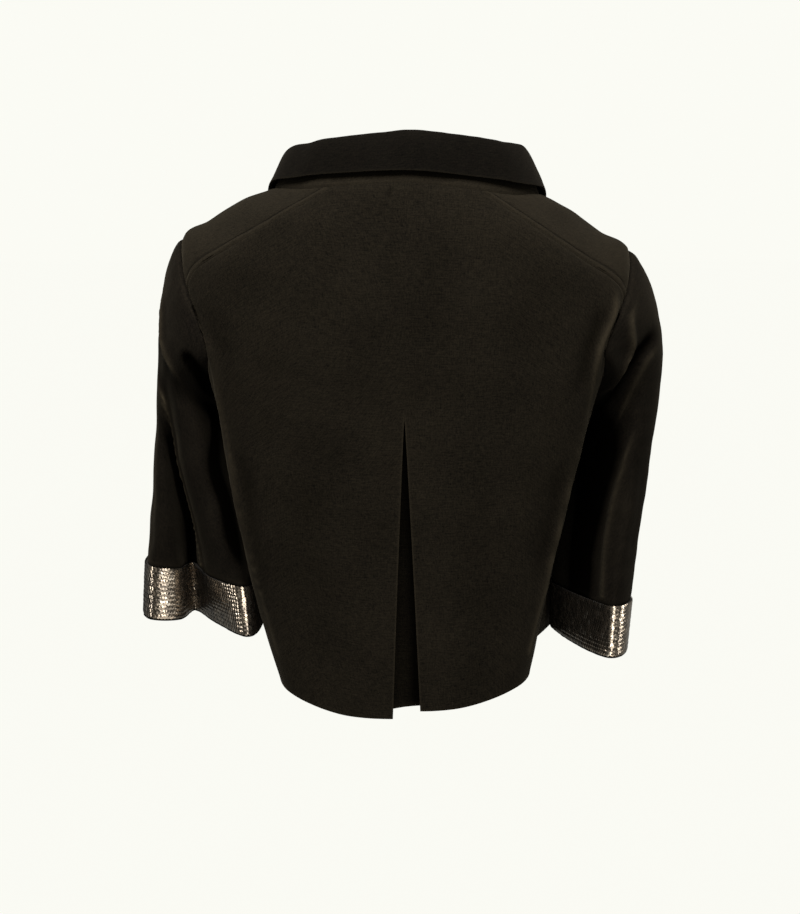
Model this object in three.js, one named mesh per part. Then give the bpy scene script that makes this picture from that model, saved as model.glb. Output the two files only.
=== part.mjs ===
// A cropped velvet blazer, hollow and in the shape it takes when it is worn: two backs with an
// inverted pleat below the centre seam, two fronts, shoulder yokes, a wide collar that stands away
// from the neck, and three-quarter bell sleeves that end in a sequinned cuff with a narrow binding.
// Millimetres, +Z up. -Y is the wearer's front and +X the wearer's left. The origin is at the foot
// of the neck, midway between the shoulders, which carry the garment.
import * as THREE from "three";

// ---- Driving sizes ----
const CLOTH = 2; // velvet with its backing
const COLLAR_CLOTH = 2.4; // velvet on a stiffened under collar
const SEAM_GAP = 0.3; // between two pieces that are sewn together
const PLEAT_OPENING = { left: 10, right: 14 }; // from the centre line to each pleat edge, at the hem
const PLEAT_DEPTH = 42; // how far the pleat reaches under each back
const PLEAT_TURN = 3; // radius of the fold at the bottom of the pleat
const PLEAT_HANG = 17; // how much further in the underlay hangs at the hem than at the top
const BINDING_HEIGHT = 3.2;
const BINDING_CLOTH = 3;
const COLLAR_TILT = 0.03; // how much lower the collar's top lies for each millimetre to the left
const CUFF_STEP = 0.8; // the sequinned cuff stands this far outside the sleeve's edge

// ---- Cells of each piece, the same on both sides of every seam ----
const NECK_BACK = 4; // back neckline, from the centre seam to the yoke
const YOKE_LENGTH = 8; // yoke, from the neckline to the armhole
const YOKE_OVER = 10; // yoke, from its back seam over the shoulder to its front seam
const NECK_FRONT = 5; // front neckline, from the yoke to the front edge
const ARM_SIDE = 13; // armhole, from each end of the yoke to the underarm
const SIDE_ROWS = 10; // side seam
const ROW_RISE = 0.7; // how much closer the rows lie at the hem than at the neck, down the centre
const ROW_SAG = 0.5; // how many rings lower than its ends a panel's row hangs, at the most
const AROUND = YOKE_OVER + 2 * ARM_SIDE; // sleeve
const CAP_ROWS = 8; // sleeve head, down to its first section
const SECTION_ROWS = 2.5; // sleeve, between two sections
const CUFF_ROWS = 4;
const STAND_ROWS = 3;
const FALL_ROWS = 6;
const PLEAT_ROWS = 10;

// Rings round the body, one row for each, from the neckline to the hem. Each column is a line that
// runs down the garment, and each point is [sideways, depth, height] on the wearer's left.
const BODY_COLUMNS = ["centreBack", "blade", "backCorner", "side", "frontCorner", "bust", "edge"];
const BODY = [
  { ring: "neckline", centreBack: [0, 88, -8], blade: [50, 82, -10], backCorner: [92, 60, -12],
    side: [121, 8, -11], frontCorner: [108, -50, -35], bust: [68, -88, -76], edge: [14, -104, -112] },
  { ring: "collarbone", centreBack: [0, 97, -40], blade: [64, 97, -38], backCorner: [118, 77, -35],
    side: [150, 2, -21], frontCorner: [132, -62, -54], bust: [84, -104, -98], edge: [13, -121, -138] },
  { ring: "shoulder slope", centreBack: [0, 104, -84], blade: [76, 105, -81], backCorner: [152, 84, -66],
    side: [181, 0, -40], frontCorner: [155, -71, -80], bust: [94, -117, -128], edge: [13, -135, -168] },
  { ring: "shoulder point", centreBack: [0, 106, -124], blade: [86, 108, -121], backCorner: [182, 77, -101],
    side: [206, 0, -56], frontCorner: [172, -76, -110], bust: [100, -126, -162], edge: [13, -145, -204] },
  { ring: "armhole", centreBack: [0, 106, -165], blade: [88, 109, -163], backCorner: [177, 82, -148],
    side: [213, 0, -116], frontCorner: [174, -81, -162], bust: [104, -133, -206], edge: [14, -150, -243] },
  { ring: "underarm", centreBack: [0, 106, -213], blade: [87, 109, -211], backCorner: [166, 84, -196],
    side: [165, 4, -218], frontCorner: [166, -88, -222], bust: [104, -139, -256], edge: [16, -153, -286] },
  { ring: "waist", centreBack: [0, 110, -292], blade: [80, 111, -291], backCorner: [152, 84, -286],
    side: [149, -4, -291], frontCorner: [153, -99, -300], bust: [101, -143, -323], edge: [19, -155, -344] },
  { ring: "hip", centreBack: [0, 119, -380], blade: [68, 119, -379], backCorner: [133, 88, -376],
    side: [137, -12, -379], frontCorner: [146, -109, -382], bust: [99, -146, -394], edge: [23, -156, -405] },
  { ring: "hem", centreBack: [0, 130, -481], blade: [58, 127, -477], backCorner: [108, 98, -461],
    side: [122, -20, -456], frontCorner: [139, -115, -452], bust: [98, -149, -458], edge: [27, -157, -464] },
];
const UNDERARM_RING = 5;
const HEM_RING = 8;
// How far the wearer's right side lies further out, higher at the centre and at the side, and how much
// further out still its front corner is, because the jacket is turned a little on the body.
const RIGHT_SIDE = [
  { ring: "neckline", out: 5, centreUp: 0, sideUp: -5, frontOut: 0 },
  { ring: "collarbone", out: 4, centreUp: 0, sideUp: -8, frontOut: 0 },
  { ring: "shoulder slope", out: 2, centreUp: 0, sideUp: -10, frontOut: 0 },
  { ring: "shoulder point", out: 3, centreUp: 0, sideUp: -10, frontOut: 0 },
  { ring: "armhole", out: 3, centreUp: 0, sideUp: -2, frontOut: 0 },
  { ring: "underarm", out: 3, centreUp: 0, sideUp: 3, frontOut: 0 },
  { ring: "waist", out: -4, centreUp: 1, sideUp: 3, frontOut: 5 },
  { ring: "hip", out: -5, centreUp: 3, sideUp: 4, frontOut: 11 },
  { ring: "hem", out: 1, centreUp: 7, sideUp: 7, frontOut: 12 },
];

// Where the yoke seams leave the neckline, in columns, and the angle at which they meet the armhole.
const YOKE_SEAMS = {
  back: { neck: 1.36, bow: 0.2, angle: 45 },
  front: { neck: 4.3, bow: -0.1, angle: -38 },
};

// Collar, one row for each of the body's columns: height of the stand, how far its top leans in and
// its middle hollows in, the ring that the fall's edge hangs over, its height off the body, and how
// far the roll stands out.
const COLLAR = [
  { at: "centreBack", stand: 42, leanIn: 9, hollow: 4, edgeRing: -0.3, edgeOff: 10, roll: 9 },
  { at: "blade", stand: 41, leanIn: 11, hollow: 4, edgeRing: -0.28, edgeOff: 11, roll: 9 },
  { at: "backCorner", stand: 40, leanIn: 14, hollow: 3, edgeRing: -0.15, edgeOff: 13, roll: 7 },
  { at: "side", stand: 34, leanIn: 14, hollow: 1, edgeRing: 0.1, edgeOff: 7, roll: 3 },
  { at: "frontCorner", stand: 30, leanIn: 8, hollow: -2, edgeRing: 0.55, edgeOff: 6, roll: 10 },
  { at: "bust", stand: 24, leanIn: 4, hollow: -2, edgeRing: 1.1, edgeOff: 6, roll: 16 },
  { at: "edge", stand: 15, leanIn: 1, hollow: -2, edgeRing: 1.45, edgeOff: 6, roll: 16 },
];

// Sleeves, one row for each section. height is at the sleeve's middle, and tilt is how much it falls
// for each millimetre towards the body. Each column is a line down the sleeve, at that many cells
// round from the top of the shoulder, and each point is [sideways, depth].
const SLEEVE_COLUMNS = {
  outer: 0, outerBack: 3, lobe: 5, valley: 8, ridge: 11.5,
  innerBack: 14.5, inner: 18.5, innerFront: 21.8, front: 26.5, outerFront: 31.5,
};
const SLEEVES = {
  left: { lean: -0.28, puff: 22, cuffFrom: 4, sections: [
    { height: -204, tilt: 0.62,
      outer: [232, -4], outerBack: [230, 20], lobe: [226, 30], valley: [220, 36],
      ridge: [209, 48], innerBack: [190, 40], inner: [175, -2],
      innerFront: [185, -56], front: [200, -72], outerFront: [226, -46] },
    { height: -262, tilt: 0.3,
      outer: [236, -6], outerBack: [232, 20], lobe: [225, 26], valley: [214, 14],
      ridge: [202, 46], innerBack: [174, 42], inner: [162, 0],
      innerFront: [170, -55], front: [200, -80], outerFront: [231, -52] },
    { height: -318, tilt: 0.12,
      outer: [242, -8], outerBack: [234, 22], lobe: [220, 24], valley: [205, -4],
      ridge: [190, 42], innerBack: [158, 48], inner: [152, -2],
      innerFront: [162, -62], front: [197, -90], outerFront: [235, -60] },
    { height: -345, tilt: 0.1,
      outer: [244, -9], outerBack: [235, 22], lobe: [217, 20], valley: [204, -15],
      ridge: [185, 38], innerBack: [152, 54], inner: [147, -3],
      innerFront: [158, -64], front: [194, -94], outerFront: [237, -64] },
    { height: -370, tilt: 0.14,
      outer: [247, -11], outerBack: [237, 22], lobe: [215, 16], valley: [205, -24],
      ridge: [182, 30], innerBack: [148, 58], inner: [143, -5],
      innerFront: [155, -66], front: [192, -98], outerFront: [239, -68] },
    { height: -418, tilt: 0.08,
      outer: [250, -13], outerBack: [239, 22], lobe: [214, 13], valley: [204, -33],
      ridge: [177, 16], innerBack: [144, 62], inner: [137, -8],
      innerFront: [151, -70], front: [190, -104], outerFront: [241, -73] },
  ] },
  right: { lean: -0.2, puff: 17, cuffFrom: 4, sections: [
    { height: -200, tilt: 0.62,
      outer: [243, -4], outerBack: [238, 24], lobe: [223, 40], valley: [205, 38],
      ridge: [192, 40], innerBack: [183, 30], inner: [177, -4],
      innerFront: [188, -58], front: [206, -74], outerFront: [235, -48] },
    { height: -256, tilt: 0.25,
      outer: [235, -5], outerBack: [230, 25], lobe: [213, 41], valley: [194, 22],
      ridge: [180, 12], innerBack: [170, 2], inner: [164, -26],
      innerFront: [173, -66], front: [199, -86], outerFront: [228, -54] },
    { height: -316, tilt: 0.05,
      outer: [227, -4], outerBack: [222, 26], lobe: [204, 42], valley: [184, 10],
      ridge: [170, -12], innerBack: [162, -30], inner: [156, -52],
      innerFront: [167, -84], front: [191, -98], outerFront: [219, -60] },
    { height: -352, tilt: 0,
      outer: [221, -2], outerBack: [216, 30], lobe: [198, 47], valley: [180, 14],
      ridge: [165, -16], innerBack: [156, -38], inner: [151, -60],
      innerFront: [162, -88], front: [184, -103], outerFront: [213, -61] },
    { height: -395, tilt: -0.02,
      outer: [216, 0], outerBack: [210, 36], lobe: [193, 54], valley: [176, 24],
      ridge: [161, -12], innerBack: [153, -38], inner: [148, -64],
      innerFront: [158, -94], front: [181, -108], outerFront: [209, -63] },
    { height: -442, tilt: -0.06,
      outer: [211, 2], outerBack: [206, 40], lobe: [191, 60], valley: [175, 38],
      ridge: [160, -4], innerBack: [152, -36], inner: [148, -66],
      innerFront: [156, -96], front: [178, -110], outerFront: [205, -64] },
  ] },
};
const SIDES = { left: 1, right: -1 };
const VELVET = { color: 0x1e1a13, roughness: 0.95, metalness: 0 };
const SEQUINS = { color: 0x6b5a44, roughness: 0.3, metalness: 0.9 };

// ---- Points and curves ----
const add = (a, b, by = 1) => a.map((value, i) => value + by * b[i]);
const mix = (a, b, share) => a.map((value, i) => value + (b[i] - value) * share);
const less = (a, b) => add(a, b, -1);
const cross = (a, b) => [a[1] * b[2] - a[2] * b[1], a[2] * b[0] - a[0] * b[2], a[0] * b[1] - a[1] * b[0]];
const dot = (a, b) => a[0] * b[0] + a[1] * b[1] + a[2] * b[2];
const unit = (a) => a.map((value) => value / Math.hypot(...a));
const steps = (count) => Array.from({ length: count + 1 }, (_, i) => i / count);
const smooth = (x) => x * x * (3 - 2 * x);

// A smooth curve through points: at is 0 on the first, 1 on the second, and runs on past both ends.
function through(points, at, closed = false) {
  const count = points.length;
  const first = Math.floor(closed ? at : Math.min(Math.max(at, 0), count - 2));
  const point = (i) => {
    if (closed) return points[((i % count) + count) % count];
    if (i < 0) return add(points[0], less(points[0], points[1]));
    return i < count ? points[i] : add(points[count - 1], less(points[count - 1], points[count - 2]));
  };
  const [a, b, c, d] = [-1, 0, 1, 2].map((step) => point(first + step));
  if (!closed && (at < 0 || at > count - 1)) {
    const [end, before] = at < 0 ? [b, c] : [c, b];
    return add(end, less(end, before), at < 0 ? -at : at - count + 1);
  }
  const t = at - first;
  return b.map((_, i) => b[i] + 0.5 * t * (c[i] - a[i]
    + t * (2 * a[i] - 5 * b[i] + 4 * c[i] - d[i] + t * (3 * (b[i] - c[i]) + d[i] - a[i]))));
}

// A closed wall behind a grid of points on its outer face. grid[row][column]; back[row][column] is
// the same point on the inner face. A round grid joins its last column to its first.
function wall(name, material, grid, back, round = false) {
  const rows = grid.length, columns = grid[0].length, count = rows * columns;
  const spots = [...grid.flat(), ...back.flat()];
  const faces = [];
  const quad = (a, b, c, d) => {
    const long = (i, j) => Math.hypot(...less(spots[i], spots[j]));
    faces.push(...(long(a, c) >= long(b, d) ? [a, b, c, a, c, d] : [a, b, d, b, c, d]));
  };
  const across = round ? columns : columns - 1;
  const outer = (row, column) => row * columns + (column % columns);
  for (let row = 0; row < rows - 1; row++) {
    for (let column = 0; column < across; column++) {
      const [a, b] = [outer(row, column), outer(row, column + 1)];
      const [c, d] = [outer(row + 1, column + 1), outer(row + 1, column)];
      quad(a, d, c, b);
      quad(a + count, b + count, c + count, d + count);
    }
  }
  for (let column = 0; column < across; column++) {
    const [a, b] = [outer(0, column), outer(0, column + 1)];
    const [c, d] = [outer(rows - 1, column), outer(rows - 1, column + 1)];
    quad(a, b, b + count, a + count);
    quad(d, c, c + count, d + count);
  }
  if (!round) {
    for (let row = 0; row < rows - 1; row++) {
      const [a, b] = [outer(row, 0), outer(row + 1, 0)];
      const [c, d] = [outer(row, columns - 1), outer(row + 1, columns - 1)];
      quad(b, a, a + count, b + count);
      quad(c, d, d + count, c + count);
    }
  }
  const geometry = new THREE.BufferGeometry();
  geometry.setAttribute("position", new THREE.Float32BufferAttribute(spots.flat(), 3));
  geometry.setIndex(faces);
  geometry.computeVertexNormals();
  const mesh = new THREE.Mesh(geometry, new THREE.MeshStandardMaterial({ ...material, name }));
  mesh.name = name;
  return mesh;
}

// The outward direction at each point of a grid, from its neighbours.
function facing(grid, round = false) {
  const rows = grid.length, columns = grid[0].length;
  const near = (i, step, count) => {
    return round ? (i + step + count) % count : Math.min(Math.max(i + step, 0), count - 1);
  };
  return grid.map((line, row) => line.map((_, column) => {
    const along = less(grid[Math.min(row + 1, rows - 1)][column], grid[Math.max(row - 1, 0)][column]);
    const over = less(line[near(column, 1, columns)], line[near(column, -1, columns)]);
    return unit(cross(along, over));
  }));
}

function moved(grid, directions, by) {
  const line = (spots, row) => spots.map((spot, column) => add(spot, directions[row][column], by));
  return grid.map(line);
}

// ---- The body: one surface for each side, numbered by column and ring ----
function bodySections(side) {
  return BODY.map((ring, i) => {
    const other = side < 0 ? RIGHT_SIDE[i] : { out: 0, centreUp: 0, sideUp: 0, frontOut: 0 };
    return BODY_COLUMNS.map((column, j) => {
      const [x, y, z] = ring[column];
      const share = Math.min(j / 2, 1);
      const up = other.centreUp + (other.sideUp - other.centreUp) * share;
      const further = column === "frontCorner" ? other.frontOut : 0;
      return [side * (x + other.out * share + further), y, z + up];
    });
  });
}
const SECTIONS = { left: bodySections(1), right: bodySections(-1) };

function body(name, column, ring) {
  const lines = SECTIONS[name].map((section) => {
    const [x, y, z] = section[1];
    return through([[-x, y, z], ...section], column + 1);
  });
  return through(lines, ring);
}

function bodyOutward(name, column, ring) {
  const step = 0.02;
  const over = less(body(name, column + step, ring), body(name, column - step, ring));
  const down = less(body(name, column, ring + step), body(name, column, ring - step));
  return unit(cross(over, down).map((value) => value * SIDES[name]));
}

// The armhole, as [column, ring]: 0 degrees at the shoulder, 90 at the back, 180 under the arm.
function armhole(degrees) {
  const angle = THREE.MathUtils.degToRad(degrees);
  const back = Math.sin(angle);
  return [3 - Math.sign(back) * Math.abs(back) ** 0.8, 4 - Math.cos(angle)];
}

function yokeSeam(which, share) {
  const seam = YOKE_SEAMS[which];
  const [column, ring] = armhole(seam.angle);
  return [seam.neck + (column - seam.neck) * share + seam.bow * Math.sin(Math.PI * share), ring * share];
}

// Columns and rings for a four-sided piece of the body, from its four edges. Its rows hang by sag in
// the middle, so that they leave the underarm at an angle and don't run along it.
function patch(top, bottom, first, last, sag = 0) {
  const corners = [top[0], top.at(-1), bottom[0], bottom.at(-1)];
  return steps(first.length - 1).map((v, row) => steps(top.length - 1).map((u, column) => {
    const ruled = add(mix(top[column], bottom[column], v), mix(first[row], last[row], u));
    const hung = add(ruled, [0, sag * 4 * u * (1 - u) * 4 * v * (1 - v)]);
    return less(hung, mix(mix(corners[0], corners[1], u), mix(corners[2], corners[3], u), v));
  }));
}

// Moves a grid's edges in, so that half a seam's gap is left round it.
function trimmed(grid) {
  const rows = grid.length - 1, columns = grid[0].length - 1;
  const pulled = (spot, next) => add(spot, unit(less(next, spot)), SEAM_GAP / 2 + 0.05);
  return grid.map((line, row) => line.map((spot, column) => {
    const inRow = Math.min(Math.max(row, 1), rows - 1);
    const inColumn = Math.min(Math.max(column, 1), columns - 1);
    let made = inRow === row ? spot : pulled(spot, grid[inRow][column]);
    if (inColumn !== column) made = pulled(made, line[inColumn]);
    return made;
  }));
}

function panel(name, side, net) {
  const ordered = side === "right" ? net : net.map((line) => [...line].reverse());
  const grid = ordered.map((line) => line.map(([column, ring]) => body(side, column, ring)));
  const outward = ordered.map((line) => line.map(([column, ring]) => bodyOutward(side, column, ring)));
  const cut = trimmed(grid);
  return wall(name, VELVET, cut, moved(cut, outward, -CLOTH));
}

const armLine = (from, to, cells) => steps(cells).map((share) => armhole(from + (to - from) * share));
const PLEAT_RINGS = HEM_RING - UNDERARM_RING;
const sideLine = steps(SIDE_ROWS).slice(1).map((share) => [3, UNDERARM_RING + PLEAT_RINGS * share]);
// The rings down a centre edge. Rows are set lower there than at the armhole, so that they rise to it.
const centreRings = steps(ARM_SIDE + SIDE_ROWS).map((share) => {
  return HEM_RING * (share + ROW_RISE * share * (1 - share));
});

// The column of the pleat's edge: closed down to the underarm ring, then opening to the hem.
function pleatEdge(side, ring) {
  const down = Math.max(ring - UNDERARM_RING, 0) / PLEAT_RINGS;
  return (PLEAT_OPENING[side] * down) / Math.abs(body(side, 1, ring)[0]);
}

function backPanel(side) {
  const neck = steps(NECK_BACK).slice(0, -1).map((share) => [YOKE_SEAMS.back.neck * share, 0]);
  const seam = steps(YOKE_LENGTH).map((share) => yokeSeam("back", share));
  const top = [...neck, ...seam];
  const hemStart = pleatEdge(side, HEM_RING);
  const bottom = steps(top.length - 1).map((share) => [hemStart + (3 - hemStart) * share, HEM_RING]);
  const centre = centreRings.map((ring) => [pleatEdge(side, ring), ring]);
  const outer = [...armLine(YOKE_SEAMS.back.angle, 180, ARM_SIDE), ...sideLine];
  return panel(`back_${side}`, side, patch(top, bottom, centre, outer, ROW_SAG));
}

function frontPanel(side) {
  const seam = steps(YOKE_LENGTH).map((share) => yokeSeam("front", 1 - share));
  const from = YOKE_SEAMS.front.neck;
  const neck = steps(NECK_FRONT).slice(1).map((share) => [from + (6 - from) * share, 0]);
  const top = [...seam, ...neck];
  const bottom = steps(top.length - 1).map((share) => [3 + 3 * share, HEM_RING]);
  const outer = [...armLine(YOKE_SEAMS.front.angle, -180, ARM_SIDE), ...sideLine];
  const centre = centreRings.map((ring) => [6, ring]);
  return panel(`front_${side}`, side, patch(top, bottom, outer, centre, ROW_SAG));
}

function yokePanel(side) {
  const { back, front } = YOKE_SEAMS;
  const backSeam = steps(YOKE_LENGTH).map((share) => yokeSeam("back", share));
  const frontSeam = steps(YOKE_LENGTH).map((share) => yokeSeam("front", share));
  const neck = steps(YOKE_OVER).map((share) => [back.neck + (front.neck - back.neck) * share, 0]);
  const arm = armLine(back.angle, front.angle, YOKE_OVER);
  const net = patch(backSeam, frontSeam, neck, arm);
  const across = net[0].map((_, column) => net.map((line) => line[column]));
  return panel(`yoke_${side}`, side, across);
}

// The pleat: from each pleat edge out under the back, round a turn and in across the middle. Each
// row of half is a share of the way out and how far the line has turned, in degrees.
function pleatUnderlay() {
  const half = [
    ...[0, 0.5, 1].map((out) => ({ out, turn: 0 })),
    ...[30, 60, 90, 120, 150].map((turn) => ({ out: 1, turn })),
    ...[1, 0.66, 0.33, 0].map((out) => ({ out, turn: 180 })),
  ];
  const above = 0.25, short = 0.03; // how far the strip starts above the opening and ends above the hem
  const rings = steps(PLEAT_ROWS).map((share) => {
    return UNDERARM_RING - above + (PLEAT_RINGS + above - short) * share;
  });
  const grid = rings.map((ring) => {
    const down = Math.max(ring - UNDERARM_RING, 0) / PLEAT_RINGS;
    const line = (side) => half.map(({ out, turn }) => {
      const start = turn === 180 ? 0 : PLEAT_OPENING[side] * down + 0.8;
      const angle = THREE.MathUtils.degToRad(turn);
      const x = start + (PLEAT_DEPTH - start) * out + PLEAT_TURN * Math.sin(angle);
      const hang = turn === 180 ? PLEAT_HANG * down * smooth(1 - out) : 0;
      const deep = 2 * CLOTH + 0.5 + PLEAT_TURN * (1 - Math.cos(angle)) + hang;
      const column = x / Math.abs(body(side, 1, ring)[0]);
      return add(body(side, column, ring), bodyOutward(side, column, ring), -deep);
    });
    return [...line("left"), ...line("right").reverse().slice(1)];
  });
  return wall("pleat_underlay", VELVET, grid, moved(grid, facing(grid), -CLOTH));
}

// ---- Sleeves ----
// Columns round a sleeve's section, one for each cell, as a closed loop through the table's points.
function sleeveRing(side, section) {
  const columns = Object.keys(SLEEVE_COLUMNS), places = Object.values(SLEEVE_COLUMNS);
  const points = columns.map((column) => section[column]);
  const middle = (section.outer[0] + section.inner[0]) / 2;
  return Array.from({ length: AROUND }, (_, cell) => {
    const i = places.findLastIndex((place) => place <= cell);
    const next = i + 1 < places.length ? places[i + 1] : AROUND;
    const [x, y] = through(points, i + (cell - places[i]) / (next - places[i]), true);
    return [SIDES[side] * x, y, section.height - section.tilt * (middle - x)];
  });
}

// The armhole's edge, one point for each cell round the sleeve, from the top of the shoulder.
function armholeRing(side) {
  const half = YOKE_OVER / 2, { angle } = YOKE_SEAMS.back;
  return Array.from({ length: AROUND }, (_, cell) => {
    const back = cell <= AROUND / 2;
    const i = back ? cell : AROUND - cell;
    const degrees = i <= half ? (angle * i) / half : angle + ((180 - angle) * (i - half)) / ARM_SIDE;
    const [column, ring] = armhole(back ? degrees : -degrees);
    return body(side, column, ring);
  });
}

// The whole sleeve's outer face, from the armhole to the cuff's lower edge, as a ring at any place:
// 0 to 1 is the head, and each whole number after that is one of the table's sections.
const sleeveAway = (side) => unit([SIDES[side], 0, SLEEVES[side].lean]);

function sleeveShape(side) {
  const { sections } = SLEEVES[side];
  const rings = sections.map((section) => sleeveRing(side, section));
  const start = armholeRing(side);
  const away = sleeveAway(side);
  return (place) => start.map((spot, cell) => {
    const line = rings.map((ring) => ring[cell]);
    if (place >= 1) return through(line, place - 1);
    const from = add(spot, away, SEAM_GAP + 0.15);
    const reach = Math.hypot(...less(line[0], from));
    const lifted = add(line[0], unit(less(line[0], line[1])), reach * 0.42);
    const bend = [from, add(from, away, Math.min(reach * 0.36, SLEEVES[side].puff)), lifted, line[0]];
    const [ab, bc, cd] = [0, 1, 2].map((i) => mix(bend[i], bend[i + 1], place));
    return mix(mix(ab, bc, place), mix(bc, cd, place), place);
  });
}

function tube(name, material, shape, places, out, cloth, away) {
  const rings = places.map(shape);
  const turned = (ring) => [ring[0], ...ring.slice(1).reverse()];
  const ordered = name.endsWith("left") ? rings : rings.map(turned);
  const outward = facing(ordered, true);
  if (away) outward[0] = outward[0].map((way) => unit(add(way, away, -dot(way, away))));
  const grid = moved(ordered, outward, out);
  return wall(name, material, grid, moved(grid, outward, -cloth), true);
}

function sleevePieces(side) {
  const shape = sleeveShape(side);
  const { cuffFrom, sections } = SLEEVES[side];
  const seam = cuffFrom + 1, hem = sections.length;
  const length = -(sections[hem - 1].height - sections[cuffFrom].height);
  const gap = SEAM_GAP / length, bindingTop = hem - BINDING_HEIGHT / length;
  const below = steps(Math.round(cuffFrom * SECTION_ROWS)).slice(1);
  const sleeve = [...steps(CAP_ROWS), ...below.map((share) => 1 + cuffFrom * share)];
  const cuff = steps(CUFF_ROWS).map((share) => seam + gap + (bindingTop - gap - seam - gap) * share);
  return [
    tube(`sleeve_${side}`, VELVET, shape, sleeve, 0, CLOTH, sleeveAway(side)),
    tube(`cuff_${side}`, SEQUINS, shape, cuff, CUFF_STEP, CLOTH),
    tube(`cuff_binding_${side}`, VELVET, shape, [bindingTop, hem], CUFF_STEP + 0.6, BINDING_CLOTH),
  ];
}

// ---- Collar ----
// The neckline's points from the left front edge round the back to the right one, each with the
// body's side and column there.
function neckStations() {
  const { back, front } = YOKE_SEAMS;
  const columns = [
    ...steps(NECK_BACK).map((share) => back.neck * share),
    ...steps(YOKE_OVER).slice(1).map((share) => back.neck + (front.neck - back.neck) * share),
    ...steps(NECK_FRONT).slice(1).map((share) => front.neck + (6 - front.neck) * share),
  ];
  const left = [...columns].reverse().map((column) => ({ side: "left", column }));
  return [...left, ...columns.slice(1).map((column) => ({ side: "right", column }))];
}

function collarSize(column, what) {
  return through(COLLAR.map((row) => [row[what]]), column)[0];
}

// The collar's lines at one station: foot of the stand, top of the stand, and the fall's edge.
function collarLines({ side, column }) {
  const foot = body(side, column, 0);
  const ahead = body(side, column + 0.05, 0), behind = body(side, column - 0.05, 0);
  const out = unit(cross(less(behind, ahead), [0, 0, SIDES[side]]).map((value, i) => (i < 2 ? value : 0)));
  const stand = collarSize(column, "stand") - COLLAR_TILT * foot[0], leanIn = collarSize(column, "leanIn");
  const top = add([foot[0], foot[1], foot[2] + stand], out, -leanIn);
  const edgeRing = collarSize(column, "edgeRing");
  const under = body(side, column, edgeRing);
  const edge = add(under, bodyOutward(side, column, edgeRing), collarSize(column, "edgeOff"));
  return { foot, out, top, edge, roll: collarSize(column, "roll"), hollow: collarSize(column, "hollow") };
}

function collarStand() {
  const stations = neckStations().map(collarLines);
  const grid = steps(STAND_ROWS).map((share) => stations.map(({ foot, out, top, hollow }) => {
    const lifted = add(foot, [0, 0, 1], SEAM_GAP);
    return add(mix(lifted, top, share), out, -hollow * Math.sin(Math.PI * share));
  })).reverse();
  return wall("collar_stand", VELVET, grid, moved(grid, facing(grid), -CLOTH));
}

function collarFall() {
  const stations = neckStations().map(collarLines);
  const clear = COLLAR_CLOTH + SEAM_GAP + 1;
  const grid = steps(FALL_ROWS).map((share) => stations.map(({ out, top, edge, roll }) => {
    const start = add([top[0], top[1], top[2] + clear], out, -CLOTH);
    const crown = add([top[0], top[1], top[2] + clear + 6], out, roll * 0.85);
    return mix(mix(start, crown, share), mix(crown, edge, share), share);
  }));
  return wall("collar_fall", VELVET, grid, moved(grid, facing(grid), -COLLAR_CLOTH));
}

const blazer = new THREE.Group();
for (const side of ["left", "right"]) {
  blazer.add(backPanel(side), frontPanel(side), yokePanel(side), ...sleevePieces(side));
}
blazer.add(pleatUnderlay(), collarStand(), collarFall());
export default blazer;
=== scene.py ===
# %% [markdown]
# # A cropped velvet blazer with sequinned cuffs
# This lesson dresses a rigid, hollow frame as a velvet jacket that stays in the shape it has when
# someone wears it. Cloth on a body is smooth and curves both ways, so its panels are sampled from one
# surface that a short table of rings describes, and each panel is cut out of that surface as a cutter
# would cut it on a stand. The frame's own box is kept.

# %% Start from the frame
import math

import bpy
import numpy as np
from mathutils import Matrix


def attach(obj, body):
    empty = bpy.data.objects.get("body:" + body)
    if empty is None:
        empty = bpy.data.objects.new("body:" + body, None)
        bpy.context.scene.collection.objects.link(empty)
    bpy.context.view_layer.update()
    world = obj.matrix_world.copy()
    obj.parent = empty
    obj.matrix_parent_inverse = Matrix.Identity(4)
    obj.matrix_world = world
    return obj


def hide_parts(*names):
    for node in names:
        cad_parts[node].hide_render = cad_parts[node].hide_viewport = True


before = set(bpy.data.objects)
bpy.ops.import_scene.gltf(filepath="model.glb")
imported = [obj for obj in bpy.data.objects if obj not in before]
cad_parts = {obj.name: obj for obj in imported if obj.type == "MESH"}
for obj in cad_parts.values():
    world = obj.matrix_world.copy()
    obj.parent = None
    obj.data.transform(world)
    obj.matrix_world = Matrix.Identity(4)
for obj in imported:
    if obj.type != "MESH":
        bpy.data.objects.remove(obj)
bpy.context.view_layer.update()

bpy.ops.object.select_all(action="DESELECT")

# %% [markdown]
# ## The surface that all the panels lie on
# A dress form can be described by rings round it, each with a few named points. Smooth curves through
# the points give the rest, so a seam is only a line drawn on that surface: it is said as a column,
# which counts round the body from the centre back to the front edge, and a ring, which counts down
# from the neckline to the hem. Two panels that share a seam ask for the same line and so always meet.
# All the sizes are millimetres, as a tailor writes them, and become metres when a mesh is made.

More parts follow.
